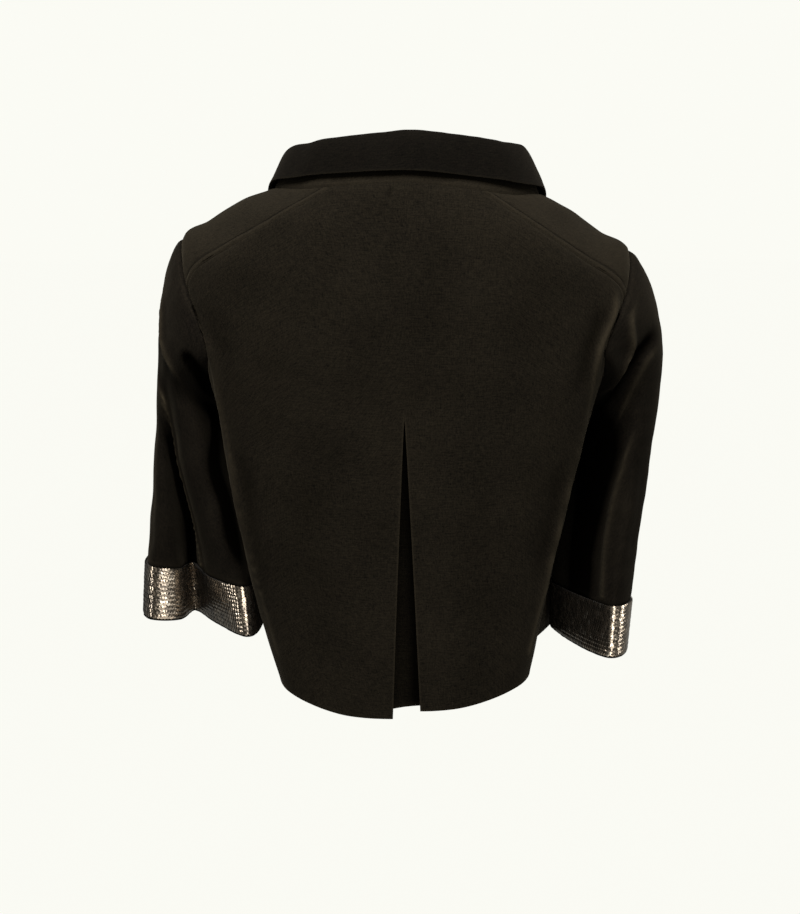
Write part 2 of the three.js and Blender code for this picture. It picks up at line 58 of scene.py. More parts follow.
# %% Rings round the body, on the wearer's left
COLUMNS = ["centreBack", "blade", "backCorner", "side", "frontCorner", "bust", "edge"]
BODY = {
    "neckline": [(0, 88, -8), (50, 82, -10), (92, 60, -12), (121, 8, -11),
        (108, -50, -35), (68, -88, -76), (14, -104, -112)],
    "collarbone": [(0, 97, -40), (64, 97, -38), (118, 77, -35), (150, 2, -21),
        (132, -62, -54), (84, -104, -98), (13, -121, -138)],
    "shoulder slope": [(0, 104, -84), (76, 105, -81), (152, 84, -66), (181, 0, -40),
        (155, -71, -80), (94, -117, -128), (13, -135, -168)],
    "shoulder point": [(0, 106, -124), (86, 108, -121), (182, 77, -101), (206, 0, -56),
        (172, -76, -110), (100, -126, -162), (13, -145, -204)],
    "armhole": [(0, 106, -165), (88, 109, -163), (177, 82, -148), (213, 0, -116),
        (174, -81, -162), (104, -133, -206), (14, -150, -243)],
    "underarm": [(0, 106, -213), (87, 109, -211), (166, 84, -196), (165, 4, -218),
        (166, -88, -222), (104, -139, -256), (16, -153, -286)],
    "waist": [(0, 110, -292), (80, 111, -291), (152, 84, -286), (149, -4, -291),
        (153, -99, -300), (101, -143, -323), (19, -155, -344)],
    "hip": [(0, 119, -380), (68, 119, -379), (133, 88, -376), (137, -12, -379),
        (146, -109, -382), (99, -146, -394), (23, -156, -405)],
    "hem": [(0, 130, -481), (58, 127, -477), (108, 98, -461), (122, -20, -456),
        (139, -115, -452), (98, -149, -458), (27, -157, -464)],
}
RIGHT_SIDE = [  # how far the right lies out, up at the centre, up at the side, out at the front corner
    (5, 0, -5, 0), (4, 0, -8, 0), (2, 0, -10, 0), (3, 0, -10, 0), (3, 0, -2, 0), (3, 0, 3, 0), (-4, 1, 3, 5),
    (-5, 3, 4, 11), (1, 7, 7, 12),
]
SIGN = {"left": 1, "right": -1}
ARMHOLE, UNDERARM, HEM = (list(BODY).index(ring) for ring in ("armhole", "underarm", "hem"))
SIDE_SEAM, EDGE = COLUMNS.index("side"), COLUMNS.index("edge")


def control_net(side):
    rings = np.array(list(BODY.values()), float)
    share = np.minimum(np.arange(len(COLUMNS)) / 2, 1)
    for ring, (out, centre_up, side_up, front_out) in zip(rings, RIGHT_SIDE):
        if side == "right":
            ring[:, 0] += out * share
            ring[4, 0] += front_out
            ring[:, 2] += centre_up + (side_up - centre_up) * share
        ring[:, 0] *= SIGN[side]
    mirrored = rings[:, 1:2] * [-1, 1, 1]
    return padded_ends(padded_ends(np.concatenate([mirrored, rings], axis=1), 0), 1)


def padded_ends(points, axis):
    first, second = np.take(points, [0], axis), np.take(points, [1], axis)
    last, before = np.take(points, [-1], axis), np.take(points, [-2], axis)
    return np.concatenate([2 * first - second, points, 2 * last - before], axis=axis)


NETS = {side: control_net(side) for side in SIGN}
print("control net", NETS["left"].shape)

# %% Smooth curves through named points
def weights(at, count):
    """Where a place on a curve through count points falls, and how much of four points it takes."""
    first = np.clip(np.floor(at).astype(int), 0, count - 2)
    t = at - first
    square, cube = t**2, t**3
    curve = 0.5 * np.stack([-t + 2 * square - cube, 2 - 5 * square + 3 * cube,
                            t + 4 * square - 3 * cube, cube - square])
    line = np.stack([0 * t, 1 - t, t, 0 * t])
    return first, np.where((t < 0) | (t > 1), line, curve)


def body(side, column, ring):
    column, ring = np.broadcast_arrays(np.asarray(column, float), np.asarray(ring, float))
    c, across = weights(column + 1, len(COLUMNS) + 1)  # the net starts with one mirrored column
    r, down = weights(ring, len(BODY))
    net = NETS[side]
    return sum((down[i] * across[j])[..., None] * net[r + i, c + j] for i in range(4) for j in range(4))


def unit(v):
    return v / np.maximum(np.linalg.norm(v, axis=-1, keepdims=True), 1e-9)


def outward(side, column, ring, step=0.02):
    over = body(side, column + step, ring) - body(side, column - step, ring)
    down = body(side, column, ring + step) - body(side, column, ring - step)
    return unit(np.cross(over, down) * SIGN[side])


print("shoulder point", body("left", 3.0, 3.0).round(1))

# %% [markdown]
# ## Cutting lines
# A jacket's seams run where the body turns: over the shoulder blade, round the armhole, down the side.
# The armhole is written as an angle, 0 at the shoulder point and 180 under the arm, because a sleeve's
# head is matched to it angle by angle when it is sewn in.

# %% Armhole, yoke seams and pleat edges
YOKE = {"back": {"neck": 1.36, "bow": 0.2, "angle": 45}, "front": {"neck": 4.3, "bow": -0.1, "angle": -38}}
PLEAT_OPENING = {"left": 10, "right": 14}
CENTRE_OVERLAP = 0.35  # the two backs' turnings meet inside the seam


def armhole(degrees):
    angle = np.radians(degrees)
    back = np.sin(angle)
    return np.stack([SIDE_SEAM - np.sign(back) * np.abs(back) ** 0.8, ARMHOLE - np.cos(angle)], axis=-1)


def yoke_seam(which, share):
    seam = YOKE[which]
    column, ring = armhole(seam["angle"])
    straight = seam["neck"] + (column - seam["neck"]) * share
    return np.stack([straight + seam["bow"] * np.sin(np.pi * share), ring * share], axis=-1)


def pleat_edge(side, ring):
    down = np.maximum(ring - UNDERARM, 0) / (HEM - UNDERARM)
    overlap = CENTRE_OVERLAP * np.clip(1 - 30 * down, 0, 1)
    return (PLEAT_OPENING[side] * down - overlap) / np.abs(body(side, 1.0, ring)[..., 0])


def fine(count, crowd=0.78):
    """Shares from 0 to 1 that lie closer together at both ends, where the seams need detail."""
    even = np.linspace(0, 1, count + 1)
    return even - crowd * np.sin(2 * np.pi * even) / (2 * np.pi)


def coons(top, bottom, first, last, sag=0.0):
    """A net of (column, ring) between four edges. Its rows hang in the middle by sag, so that they leave
    the underarm at an angle."""
    u = np.linspace(0, 1, len(top))[None, :, None]
    v = np.linspace(0, 1, len(first))[:, None, None]
    ruled = top[None] * (1 - v) + bottom[None] * v + first[:, None] * (1 - u) + last[:, None] * u
    corners = (top[0] * (1 - u) + top[-1] * u) * (1 - v) + (bottom[0] * (1 - u) + bottom[-1] * u) * v
    return ruled - corners + sag * 16 * u * (1 - u) * v * (1 - v) * [0, 1]


print("yoke seam meets the armhole at", body("left", *armhole(YOKE["back"]["angle"])).round(1))

# %% [markdown]
# ## Folds
# Velvet on a body hangs almost smooth and folds only where it has to: where the sleeve pulls, along the
# side of the back, and from the bust down. Each fold is one row of a table: the piece it is on, the
# points it runs through as seen from behind or from in front, its height off the cloth (less than nothing
# for a trough) and its width. Some rows also give a painted highlight: a pale line painted along the
# fold's top, as where the back turns to the side. A fold fades in and out along its length, as a real one
# does.

# %% Folds as a table, and the shape of one
FOLDS = [
    {"on": "back_left", "path": [(166, -235), (158, -290), (150, -345), (141, -400)],
     "height": 3.0, "width": 8},
    {"on": "back_left", "path": [(151, -225), (143, -285), (135, -345), (124, -420)],
     "height": -2.6, "width": 11},
    {"on": "back_left", "path": [(190, -118), (181, -142), (170, -172), (166, -205), (165, -250)],
     "height": 2.4, "width": 5},
    {"on": "back_left", "path": [(176, -112), (165, -142), (152, -180), (146, -230)],
     "height": -1.2, "width": 10},
    {"on": "back_left", "path": [(92, -240), (84, -320), (72, -410)], "height": -1.1, "width": 24},
    {"on": "back_left", "path": [(13, -11), (12, -17), (12, -25)], "height": -1.6, "width": 1.6},
    {"on": "back_right", "path": [(-190, -98), (-189, -120), (-182, -140), (-174, -160), (-169, -190)],
     "height": 3.4, "width": 5},
    {"on": "back_right", "path": [(-178, -112), (-172, -140), (-160, -172), (-150, -216)],
     "height": -2.6, "width": 9},
    {"on": "back_right", "path": [(-168, -205), (-157, -255), (-143, -305), (-130, -365), (-118, -425)],
     "height": 2.8, "width": 6},
    {"on": "back_right", "path": [(-143, -250), (-131, -310), (-116, -380)], "height": -2.2, "width": 11},
    {"on": "back_right", "path": [(-70, -250), (-64, -330), (-54, -410)], "height": -1.0, "width": 22},
    {"on": "back_left", "path": [(170, -165), (165, -198), (156, -250), (149, -297), (139, -378),
              (132, -405), (125, -430)],
     "height": 0.6, "width": 4, "painted_highlight": 1.0},
    {"on": "back_right", "path": [(-190, -96), (-187, -124), (-173, -160), (-167, -216)],
     "height": 0.6, "width": 4, "painted_highlight": 0.9},
    {"on": "back_right", "path": [(-167, -190), (-160, -262), (-148, -320), (-136, -365),
              (-132, -389), (-127, -413), (-123, -430)],
     "height": 0.6, "width": 4, "painted_highlight": 1.8},
    {"on": "front_left", "path": [(128, -190), (122, -280), (116, -380)], "height": 2.4, "width": 15},
    {"on": "front_left", "path": [(92, -250), (84, -330), (78, -430)], "height": -2.0, "width": 16},
    {"on": "front_left", "path": [(158, -150), (140, -180), (120, -200)], "height": -1.8, "width": 10},
    {"on": "front_left", "path": [(56, -300), (50, -380), (48, -455)], "height": 1.6, "width": 16},
    {"on": "front_right", "path": [(-132, -200), (-126, -290), (-120, -400)], "height": 2.2, "width": 15},
    {"on": "front_right", "path": [(-96, -240), (-90, -330), (-80, -420)], "height": -2.2, "width": 17},
    {"on": "front_right", "path": [(-160, -150), (-142, -184), (-118, -210)], "height": -2.0, "width": 11},
    {"on": "front_right", "path": [(-52, -310), (-46, -390), (-46, -455)], "height": 1.5, "width": 15},
]
FAR = 9999


def nearest(points, shown, spots):
    """The shown point of the grid at each spot (sideways, height), seen along the depth."""
    flat = np.where(shown[..., None], points, FAR).reshape(-1, 3)
    return np.array([flat[np.argmin(np.hypot(flat[:, 0] - x, flat[:, 2] - z))] for x, z in spots])


def along(path, count=40):
    """A smooth line through the path's points."""
    at = np.linspace(0, len(path) - 1, count)
    first, w = weights(at, len(path))
    held = padded_ends(np.asarray(path, float), 0)
    return sum(w[i][:, None] * held[first + i] for i in range(4))


def fold(points, path, height, width, runs_out=True):
    """How far a fold lifts each point of a grid. One that doesn't run out stays high at its lower end."""
    line = along(path)
    gap = np.linalg.norm(points.reshape(-1, 1, 3) - line[None], axis=2)
    near = gap.argmin(axis=1)
    share = near / (len(line) - 1)
    fade = np.clip((np.minimum(share, 1 - share) if runs_out else share) / 0.3, 0, 1)
    fade = fade * fade * (3 - 2 * fade)
    lift = height * fade * np.exp(-((gap.min(axis=1) / width) ** 2))
    return lift.reshape(points.shape[:-1])


def waves(points, length, seed, count=6):
    """Soft unevenness of about one unit, with bumps about so long."""
    chance = np.random.default_rng(seed)
    total = np.zeros(points.shape[:-1])
    for _ in range(count):
        way = unit(chance.normal(size=3)) * 2 * np.pi / (length * chance.uniform(0.7, 1.6))
        total += np.sin(points @ way + chance.uniform(0, 6.28))
    return total / math.sqrt(count)


def fold_painted_light(relief):
    """Painted light of a fold: a painted highlight along its top and painted shade, nearly black, in its
    hollow.
    """
    return 0.3 * np.clip(relief / 4, 0, 1) + np.clip(relief / 7, -1, 0)


print(len(FOLDS), "folds on the body")

# %% [markdown]
# ## From a grid of points to cloth
# Each piece becomes a mesh of four-sided faces, one for each cell of its grid. A map in metres is kept
# on it, measured along the cloth, so that the nap can follow the grain. So is a number at each point for
# pressed pile and painted light: above nothing it is pressed or rubbed pile with a painted highlight, and
# below nothing it is painted shade, as in a hollow or a seam. Solidify gives the cloth its thickness
# on the inside, and a small bevel rounds the raw rims so that they catch the light like a turned edge.

# %% Grids, distances and meshes
VELVET, COLLAR_CLOTH = 2.0, 2.4


def lengths(points, axis):
    """How far each point of a grid lies from its first edge, measured along it, and the whole way."""
    step = np.linalg.norm(np.diff(points, axis=axis), axis=-1)
    zero = np.zeros_like(np.take(step, [0], axis))
    run = np.concatenate([zero, np.cumsum(step, axis=axis)], axis=axis)
    return run, np.take(run, [-1], axis)


def facing(points, closed=False):
    if closed:
        over = np.roll(points, -1, axis=1) - np.roll(points, 1, axis=1)
    else:
        over = np.gradient(points, axis=1)
    down = np.gradient(points, axis=0)
    return unit(np.cross(down, over))


def cloth(name, points, thickness, press_and_painted_light, closed=False, bevel=0.7, segments=2):
    """Makes a sheet of cloth. points[row][column] in millimetres is its outer face."""
    rows, columns = points.shape[:2]
    index = np.arange(rows * columns).reshape(rows, columns)
    if closed:
        index = np.concatenate([index, index[:, :1]], axis=1)
    faces = np.stack([index[:-1, :-1], index[1:, :-1], index[1:, 1:], index[:-1, 1:]], axis=-1).reshape(-1, 4)
    mesh = bpy.data.meshes.new(f"{name}_cloth")
    mesh.from_pydata((points.reshape(-1, 3) / 1000).tolist(), [], faces.tolist())
    grid = np.concatenate([points, points[:, :1]], axis=1) if closed else points
    u, v = lengths(grid, 1)[0], lengths(grid, 0)[0]
    place = np.stack([u, v], axis=-1) / 1000
    wide = columns + 1 if closed else columns
    cell = np.arange(rows * wide).reshape(rows, wide)
    corners = np.stack([cell[:-1, :-1], cell[1:, :-1], cell[1:, 1:], cell[:-1, 1:]], axis=-1).reshape(-1)
    layer = mesh.uv_layers.new(name="cloth")
    layer.data.foreach_set("uv", place.reshape(-1, 2)[corners].astype(np.float32).reshape(-1))
    mark = mesh.attributes.new("press_and_painted_light", "FLOAT", "POINT")
    mark.data.foreach_set("value", press_and_painted_light.astype(np.float32).reshape(-1))
    made = bpy.data.objects.new(mesh.name, mesh)
    bpy.context.scene.collection.objects.link(made)
    bpy.ops.object.select_all(action="DESELECT")
    made.select_set(True)
    bpy.context.view_layer.objects.active = made
    bpy.ops.object.modifier_add(type="SOLIDIFY")
    made.modifiers[-1].thickness = thickness / 1000
    made.modifiers[-1].offset = -1
    bpy.ops.object.modifier_apply(modifier=made.modifiers[-1].name)
    bpy.ops.object.modifier_add(type="BEVEL")
    made.modifiers[-1].width = bevel / 1000
    made.modifiers[-1].segments = segments
    made.modifiers[-1].limit_method = "ANGLE"
    made.modifiers[-1].angle_limit = math.radians(55)
    bpy.ops.object.modifier_apply(modifier=made.modifiers[-1].name)
    bpy.ops.object.shade_smooth()
    area = sum(p.area for p in made.data.polygons) / 2
    print(name, len(made.data.polygons), "faces,", round(area, 4), "square metres")
    return made


# %% [markdown]
# ## Seams, hems and pleat edges
# At a seam the cloth dives in and puckers a little, and its turning runs on past the seam line into its
# neighbour's, so that no light comes through. Beside a seam the pressed velvet is pale, which is also a
# painted highlight, and in the seam line it is painted shade, nearly black. A hem is folded up, so it is
# a little thicker, and its rim is pale: rubbed pile and a painted highlight.

# %% How cloth behaves at its edges
SIDES = {"top": (0, -1), "bottom": (0, 1), "first": (1, -1), "last": (1, 1)}  # axis, and which way is out
SEAM_OVERLAP, SEAM_DROP, SEAM_PUCKER = 0.6, 0.9, 0.2


def edge_gaps(points):
    """How far each point of a grid lies from each of its four edges."""
    across, all_across = lengths(points, 1)
    down, all_down = lengths(points, 0)
    return {"top": down, "bottom": all_down - down, "first": across, "last": all_across - across}


def seamed(points, directions, edges, seed, pucker=SEAM_PUCKER, drop=SEAM_DROP):
    """Turns a grid's sewn edges in, puckers them a little and rounds its open ones. edges names what each
    edge is: top, bottom, first (the first column) and last, each "seam", "hem" or "pleat"."""
    gaps = edge_gaps(points)
    turned = np.zeros(points.shape)
    offset = np.zeros(points.shape[:-1])
    press_and_painted_light = np.zeros(points.shape[:-1])
    for edge, kind in edges.items():
        gap = gaps[edge]
        if kind == "seam":
            axis, sign = SIDES[edge]
            beyond = unit(np.gradient(points, axis=axis)) * sign
            turned += beyond * SEAM_OVERLAP * np.exp(-((gap / 1.5) ** 2))[..., None]
            ripple = waves(points, 11, seed + 3) * np.exp(-((gap - 3.5) / 4.5) ** 2)
            offset += pucker * ripple - drop * np.exp(-((gap / 1.5) ** 2)) - 0.25 * np.exp(-((gap / 7) ** 2))
            # Beside the seam: pressed pile and a painted highlight. In the seam line: painted shade, nearly
            # black.
            press_and_painted_light = np.maximum(press_and_painted_light, 0.1 * np.exp(-(((gap - 4.0) / 2.2) ** 2)))
            press_and_painted_light = press_and_painted_light - 0.9 * np.exp(-((gap / 1.2) ** 2))
        if kind == "hem":
            offset += 0.25 * np.exp(-(((gap - 1.5) / 3) ** 2)) - 0.3 * np.exp(-((gap / 0.8) ** 2))
            # The hem's rim: rubbed pile and a painted highlight.
            press_and_painted_light = np.maximum(press_and_painted_light, 0.5 * np.exp(-((gap / 1.2) ** 2)))
        if kind == "pleat":
            offset -= 0.35 * np.exp(-((gap / 1.3) ** 2))
    return points + turned + directions * offset[..., None], press_and_painted_light


print(f"seams drop the cloth by {SEAM_DROP} mm and pucker it by {SEAM_PUCKER} mm")

# %% [markdown]
# ## Backs, fronts and yokes
# Three panels a side make the body. The back runs from the yoke seam to the hem and its centre edge opens
# into the pleat from the height of the underarm down. The yoke lies over the shoulder like a saddle, and
# the front hangs from it. Each one is the same recipe: four cutting lines, a net between them, the
# surface's points at that net, and then the folds and seams.

# %% Cutting lines of each panel
NECK_CELLS, SEAM_CELLS, ARM_CELLS, SIDE_CELLS, FRONT_NECK_CELLS = 4, 8, 13, 10, 5
ROW_SAG = 0.5


def arm_and_side(start, v):
    cell = v * (ARM_CELLS + SIDE_CELLS)
    angle = start + (math.copysign(180, start) - start) * np.minimum(cell / ARM_CELLS, 1)
    below = UNDERARM + (HEM - UNDERARM) * (cell - ARM_CELLS) / SIDE_CELLS
    side_seam = np.stack([0 * v + SIDE_SEAM, below], axis=-1)
    return np.where((cell > ARM_CELLS)[:, None], side_seam, armhole(angle))


def centre_rings(v):
    return HEM * (v + 0.7 * v * (1 - v))


def back_net(side, u, v):
    cell = u * (NECK_CELLS + SEAM_CELLS)
    neck = np.stack([YOKE["back"]["neck"] * cell / NECK_CELLS, 0 * u], axis=-1)
    seam = yoke_seam("back", np.maximum(cell - NECK_CELLS, 0) / SEAM_CELLS)
    top = np.where((cell < NECK_CELLS)[:, None], neck, seam)
    start = pleat_edge(side, np.array(float(HEM)))
    bottom = np.stack([start + (SIDE_SEAM - start) * u, 0 * u + HEM], axis=-1)
    centre = np.stack([pleat_edge(side, centre_rings(v)), centre_rings(v)], axis=-1)
    return coons(top, bottom, centre, arm_and_side(YOKE["back"]["angle"], v), ROW_SAG)


def front_net(side, u, v):
    cell = u * (SEAM_CELLS + FRONT_NECK_CELLS)
    seam = yoke_seam("front", 1 - np.minimum(cell / SEAM_CELLS, 1))
    start = YOKE["front"]["neck"]
    past = (cell - SEAM_CELLS) / FRONT_NECK_CELLS
    neck = np.stack([start + (EDGE - start) * past, 0 * u], axis=-1)
    top = np.where((cell < SEAM_CELLS)[:, None], seam, neck)
    bottom = np.stack([SIDE_SEAM + (EDGE - SIDE_SEAM) * u, 0 * u + HEM], axis=-1)
    edge = np.stack([0 * v + EDGE, centre_rings(v)], axis=-1)
    return coons(top, bottom, arm_and_side(YOKE["front"]["angle"], v), edge, ROW_SAG)


def yoke_net(side, u, v):
    back, front = YOKE["back"], YOKE["front"]
    neck = np.stack([back["neck"] + (front["neck"] - back["neck"]) * u, 0 * u], axis=-1)
    arm = armhole(back["angle"] + (front["angle"] - back["angle"]) * u)
    return coons(neck, arm, yoke_seam("back", v), yoke_seam("front", v))


# %% Make the six panels
PANELS = {
    "back": {"net": back_net, "cells": (76, 132), "faces": 1,
             "edges": {"top": "seam", "bottom": "hem", "first": "pleat", "last": "seam"}},
    "front": {"net": front_net, "cells": (72, 120), "faces": -1,
              "edges": {"top": "seam", "bottom": "hem", "first": "seam", "last": "hem"}},
    "yoke": {"net": yoke_net, "cells": (64, 56), "faces": -1,
             "edges": {"top": "seam", "bottom": "seam", "first": "seam", "last": "seam"}},
}
TOPSTITCH = 7.5
FOLD_FREE = 5  # no fold comes this near a seam, where neighbours have to meet
FULL_VIEW = 0.5  # a fold of the body is drawn where the cloth faces us at least so much
pieces, edge_lines = {}, {}


def panel(kind, side, seed):
    name = f"{kind}_{side}"
    size = PANELS[kind]
    net = size["net"](side, fine(size["cells"][0]), fine(size["cells"][1], 0.6))
    points = body(side, net[..., 0], net[..., 1])
    directions = outward(side, net[..., 0], net[..., 1])
    relief = 0.5 * waves(points, 70, seed) + 0.14 * waves(points, 26, seed + 1)
    painted_highlight = 0 * relief
    shown = directions[..., 1] * size["faces"] > FULL_VIEW
    for row in FOLDS:
        if row["on"] == name:
            spots = nearest(points, shown, row["path"])
            relief += fold(points, spots, row["height"], row["width"])
            painted_highlight += fold(points, spots, row.get("painted_highlight", 0), 0.75 * row["width"], False)
    gaps = edge_gaps(points)
    for edge, finish in size["edges"].items():
        if finish != "hem":
            relief = relief * (1 - np.exp(-((gaps[edge] / FOLD_FREE) ** 2)))
    shaped, press_and_painted_light = seamed(points + directions * relief[..., None], directions, size["edges"], seed)
    # Painted light of the folds: painted highlights along their tops and painted shade in their hollows.
    press_and_painted_light = press_and_painted_light + fold_painted_light(relief) + painted_highlight
    if kind == "back":
        open_edge = net[..., 1] > UNDERARM  # where the pleat has parted the two backs
        # A painted highlight along the open pleat edge.
        press_and_painted_light = press_and_painted_light + 0.5 * np.exp(-((gaps["first"] / 1.2) ** 2)) * open_edge
    if kind == "yoke":
        press_and_painted_light = press_and_painted_light + 0.16  # painted highlight: the yoke faces up into the light, so it is painted paler all over
        for column in (gaps["first"], gaps["last"]):
            groove = np.exp(-(((column - TOPSTITCH) / 0.9) ** 2))
            ridge = 0.5 / (1 + np.exp((column - TOPSTITCH) / 0.5)) - 0.7 * groove
            shaped = shaped + directions * ridge[..., None]
            # A painted highlight on the raised turning beside the topstitching, and painted shade in its
            # groove.
            press_and_painted_light = press_and_painted_light + 0.1 * np.exp(-(((column - TOPSTITCH + 3.5) / 2) ** 2)) - groove
    edge_lines[name] = (shaped, directions)
    if side == "left":
        shaped, press_and_painted_light = shaped[:, ::-1], press_and_painted_light[:, ::-1]
    pieces[name] = cloth(name, shaped, VELVET, press_and_painted_light)


for number, side in enumerate(SIGN):
    for kind in PANELS:
        panel(kind, side, 10 * number + len(kind))

# %% [markdown]
# ## The inverted pleat
# Below the centre seam the two backs part over a hidden strip. The strip starts behind each pleat edge,
# runs out under the back, turns round a soft fold and comes back across the middle, a little further in
# towards the hem. It is drawn once, as a line across, for every ring down the back. It lies in the shade
# of the two edges, so it is given painted shade all over, darkest at the top and beside the right edge.

# %% Make the pleat's underlay
PLEAT_DEPTH, PLEAT_TURN, PLEAT_HANG = 42, 3.0, 17


def pleat_line(side, ring):
    down = np.maximum(ring - UNDERARM, 0) / (HEM - UNDERARM)
    start = PLEAT_OPENING[side] * down + 0.4
    turn = np.radians(np.linspace(15, 165, 9))
    out = np.linspace(0, 1, 10)
    back = np.linspace(1, 0, 16)
    x = [start + (PLEAT_DEPTH - start) * out, PLEAT_DEPTH + PLEAT_TURN * np.sin(turn), PLEAT_DEPTH * back]
    inner = 2 * PLEAT_TURN + PLEAT_HANG * down * (1 - back) ** 2 * (1 + 2 * back)
    deep = [0 * out, PLEAT_TURN * (1 - np.cos(turn)), inner]
    return np.concatenate(x), np.concatenate(deep) + 2 * VELVET + 0.5


def pleat_row(ring):
    rows = []
    for side in ("left", "right"):
        x, deep = pleat_line(side, ring)
        column = x / np.abs(body(side, 1.0, ring)[0])
        spots = body(side, column, ring) - outward(side, column, ring) * deep[:, None]
        middle = (body("left", 0.0, ring) + body("right", 0.0, ring))[2] / 2
        near = (1 - np.clip(np.abs(spots[:, 0]) / PLEAT_DEPTH, 0, 1)) ** 2
        spots[:, 2] += (middle - body(side, 0.0, ring)[2]) * near
        rows.append(spots if side == "left" else spots[::-1][1:])
    return np.concatenate(rows)


rings = np.linspace(UNDERARM - 0.25, HEM - 0.03, 72)
points = np.stack([pleat_row(ring) for ring in rings])
gap = lengths(points, 0)[1] - lengths(points, 0)[0]
shaded = np.clip((4 - points[..., 0]) / 14, 0, 1) ** 1.5  # the right edge stands out further and shades it
depth = np.linspace(1, 0, len(rings))[:, None]
# Painted shade over the strip, darker where the right edge shades it and towards the top, and a pale rim at
# its hem that is rubbed pile and a painted highlight.
press_and_painted_light = 0.8 * np.exp(-((gap / 1.2) ** 2)) - np.clip(0.25 + 0.7 * shaded + 0.5 * depth, 0, 0.95)
points = points + facing(points) * (0.35 * waves(points, 45, 91))[..., None]
pieces["pleat_underlay"] = cloth("pleat_underlay", points, VELVET, press_and_painted_light, bevel=0.5)

# %% [markdown]
# ## Sleeves
# A sleeve is a tube whose top ring is the armhole itself. The tube's sections are a table: height, how the
# section tips, and ten named points round it, which carry the two long hollows that this bell sleeve
# falls into. A curve from each point of the armhole down to the first section makes the sleeve head. The
# curve starts a little inside the armhole, as the sleeve's turning does.

# %% Sections down each sleeve
SLEEVE_COLUMNS = {"outer": 0, "outerBack": 3, "lobe": 5, "valley": 8, "ridge": 11.5, "innerBack": 14.5,
                  "inner": 18.5, "innerFront": 21.8, "front": 26.5, "outerFront": 31.5}
AROUND, ARM_HALF = 36, 5  # columns round the sleeve, and how many of them lie on one half of the yoke
SLEEVE_TUCK = 2.0
SLEEVES = {
    "left": {"lean": -0.28, "puff": 22, "sections": [  # height, tilt, then [sideways, depth] for each column
        (-204, 0.62, [(232, -4), (230, 20), (226, 30), (220, 36), (209, 48),
            (190, 40), (175, -2), (185, -56), (200, -72), (226, -46)]),
        (-262, 0.3, [(236, -6), (232, 20), (225, 26), (214, 14), (202, 46),
            (174, 42), (162, 0), (170, -55), (200, -80), (231, -52)]),
        (-318, 0.12, [(242, -8), (234, 22), (220, 24), (205, -4), (190, 42),
            (158, 48), (152, -2), (162, -62), (197, -90), (235, -60)]),
        (-345, 0.1, [(244, -9), (235, 22), (217, 20), (204, -15), (185, 38),
            (152, 54), (147, -3), (158, -64), (194, -94), (237, -64)]),
        (-370, 0.14, [(247, -11), (237, 22), (215, 16), (205, -24), (182, 30),
            (148, 58), (143, -5), (155, -66), (192, -98), (239, -68)]),
        (-418, 0.08, [(250, -13), (239, 22), (214, 13), (204, -33), (177, 16),
            (144, 62), (137, -8), (151, -70), (190, -104), (241, -73)]),
    ]},
    "right": {"lean": -0.2, "puff": 17, "sections": [
        (-200, 0.62, [(243, -4), (238, 24), (223, 40), (205, 38), (192, 40),
            (183, 30), (177, -4), (188, -58), (206, -74), (235, -48)]),
        (-256, 0.25, [(235, -5), (230, 25), (213, 41), (194, 22), (180, 12),
            (170, 2), (164, -26), (173, -66), (199, -86), (228, -54)]),
        (-316, 0.05, [(227, -4), (222, 26), (204, 42), (184, 10), (170, -12),
            (162, -30), (156, -52), (167, -84), (191, -98), (219, -60)]),
        (-352, 0, [(221, -2), (216, 30), (198, 47), (180, 14), (165, -16),
            (156, -38), (151, -60), (162, -88), (184, -103), (213, -61)]),
        (-395, -0.02, [(216, 0), (210, 36), (193, 54), (176, 24), (161, -12),
            (153, -38), (148, -64), (158, -94), (181, -108), (209, -63)]),
        (-442, -0.06, [(211, 2), (206, 40), (191, 60), (175, 38), (160, -4),
            (152, -36), (148, -66), (156, -96), (178, -110), (205, -64)]),
    ]},
}


def section_ring(side, row, cells):
    height, tilt, spots = row
    places = np.array([*SLEEVE_COLUMNS.values(), AROUND], float)
    at = np.interp(cells, places, np.arange(len(places)))
    i = np.floor(at).astype(int) % 10
    t = (at - np.floor(at))[:, None]
    a, b, c, d = [np.array(spots, float)[(i + step) % 10] for step in (-1, 0, 1, 2)]
    spot = b + 0.5 * t * (c - a + t * (2 * a - 5 * b + 4 * c - d + t * (3 * (b - c) + d - a)))
    middle = (spots[0][0] + spots[6][0]) / 2
    x = spot[:, 0]
    return np.stack([SIGN[side] * x, spot[:, 1], height - tilt * (middle - x)], axis=-1)


def armhole_ring(side, cells):
    back = cells <= AROUND / 2
    i = np.where(back, cells, AROUND - cells)
    angle = YOKE["back"]["angle"]
    under = angle + (180 - angle) * (i - ARM_HALF) / ARM_CELLS
    degrees = np.where(i <= ARM_HALF, angle * i / ARM_HALF, under)
    spot = armhole(np.where(back, degrees, -degrees))
    return body(side, spot[..., 0], spot[..., 1])


def sleeve_points(side, places, cells):
    size = SLEEVES[side]
    rings = np.stack([section_ring(side, row, cells) for row in size["sections"]])
    away = unit(np.array([SIGN[side], 0, size["lean"]], float))
    start = armhole_ring(side, cells) - away * SLEEVE_TUCK
    reach = np.linalg.norm(rings[0] - start, axis=-1, keepdims=True)
    lifted = rings[0] + unit(rings[0] - rings[1]) * reach * 0.42
    bend = [start, start + away * np.minimum(reach * 0.36, size["puff"]), lifted, rings[0]]
    held = padded_ends(rings, 0)
    out = []
    for place in places:
        if place >= 1:
            first, w = weights(np.array(place - 1.0), len(rings))
            out.append(sum(w[k] * held[first + k] for k in range(4)))
        else:
            s, t = place, 1 - place
            out.append(t**3 * bend[0] + 3 * s * t**2 * bend[1] + 3 * s**2 * t * bend[2] + s**3 * bend[3])
    return np.stack(out)


def around(side, places, cells):
    """Points of the sleeve and their outward directions, with the wearer's right turned to match."""
    points = sleeve_points(side, places, cells)
    if side == "right":
        points = np.concatenate([points[:, :1], points[:, :0:-1]], axis=1)
    return points, facing(points, closed=True)


print("sleeve head starts at", sleeve_points("left", [0], np.array([0.0])).round(1))

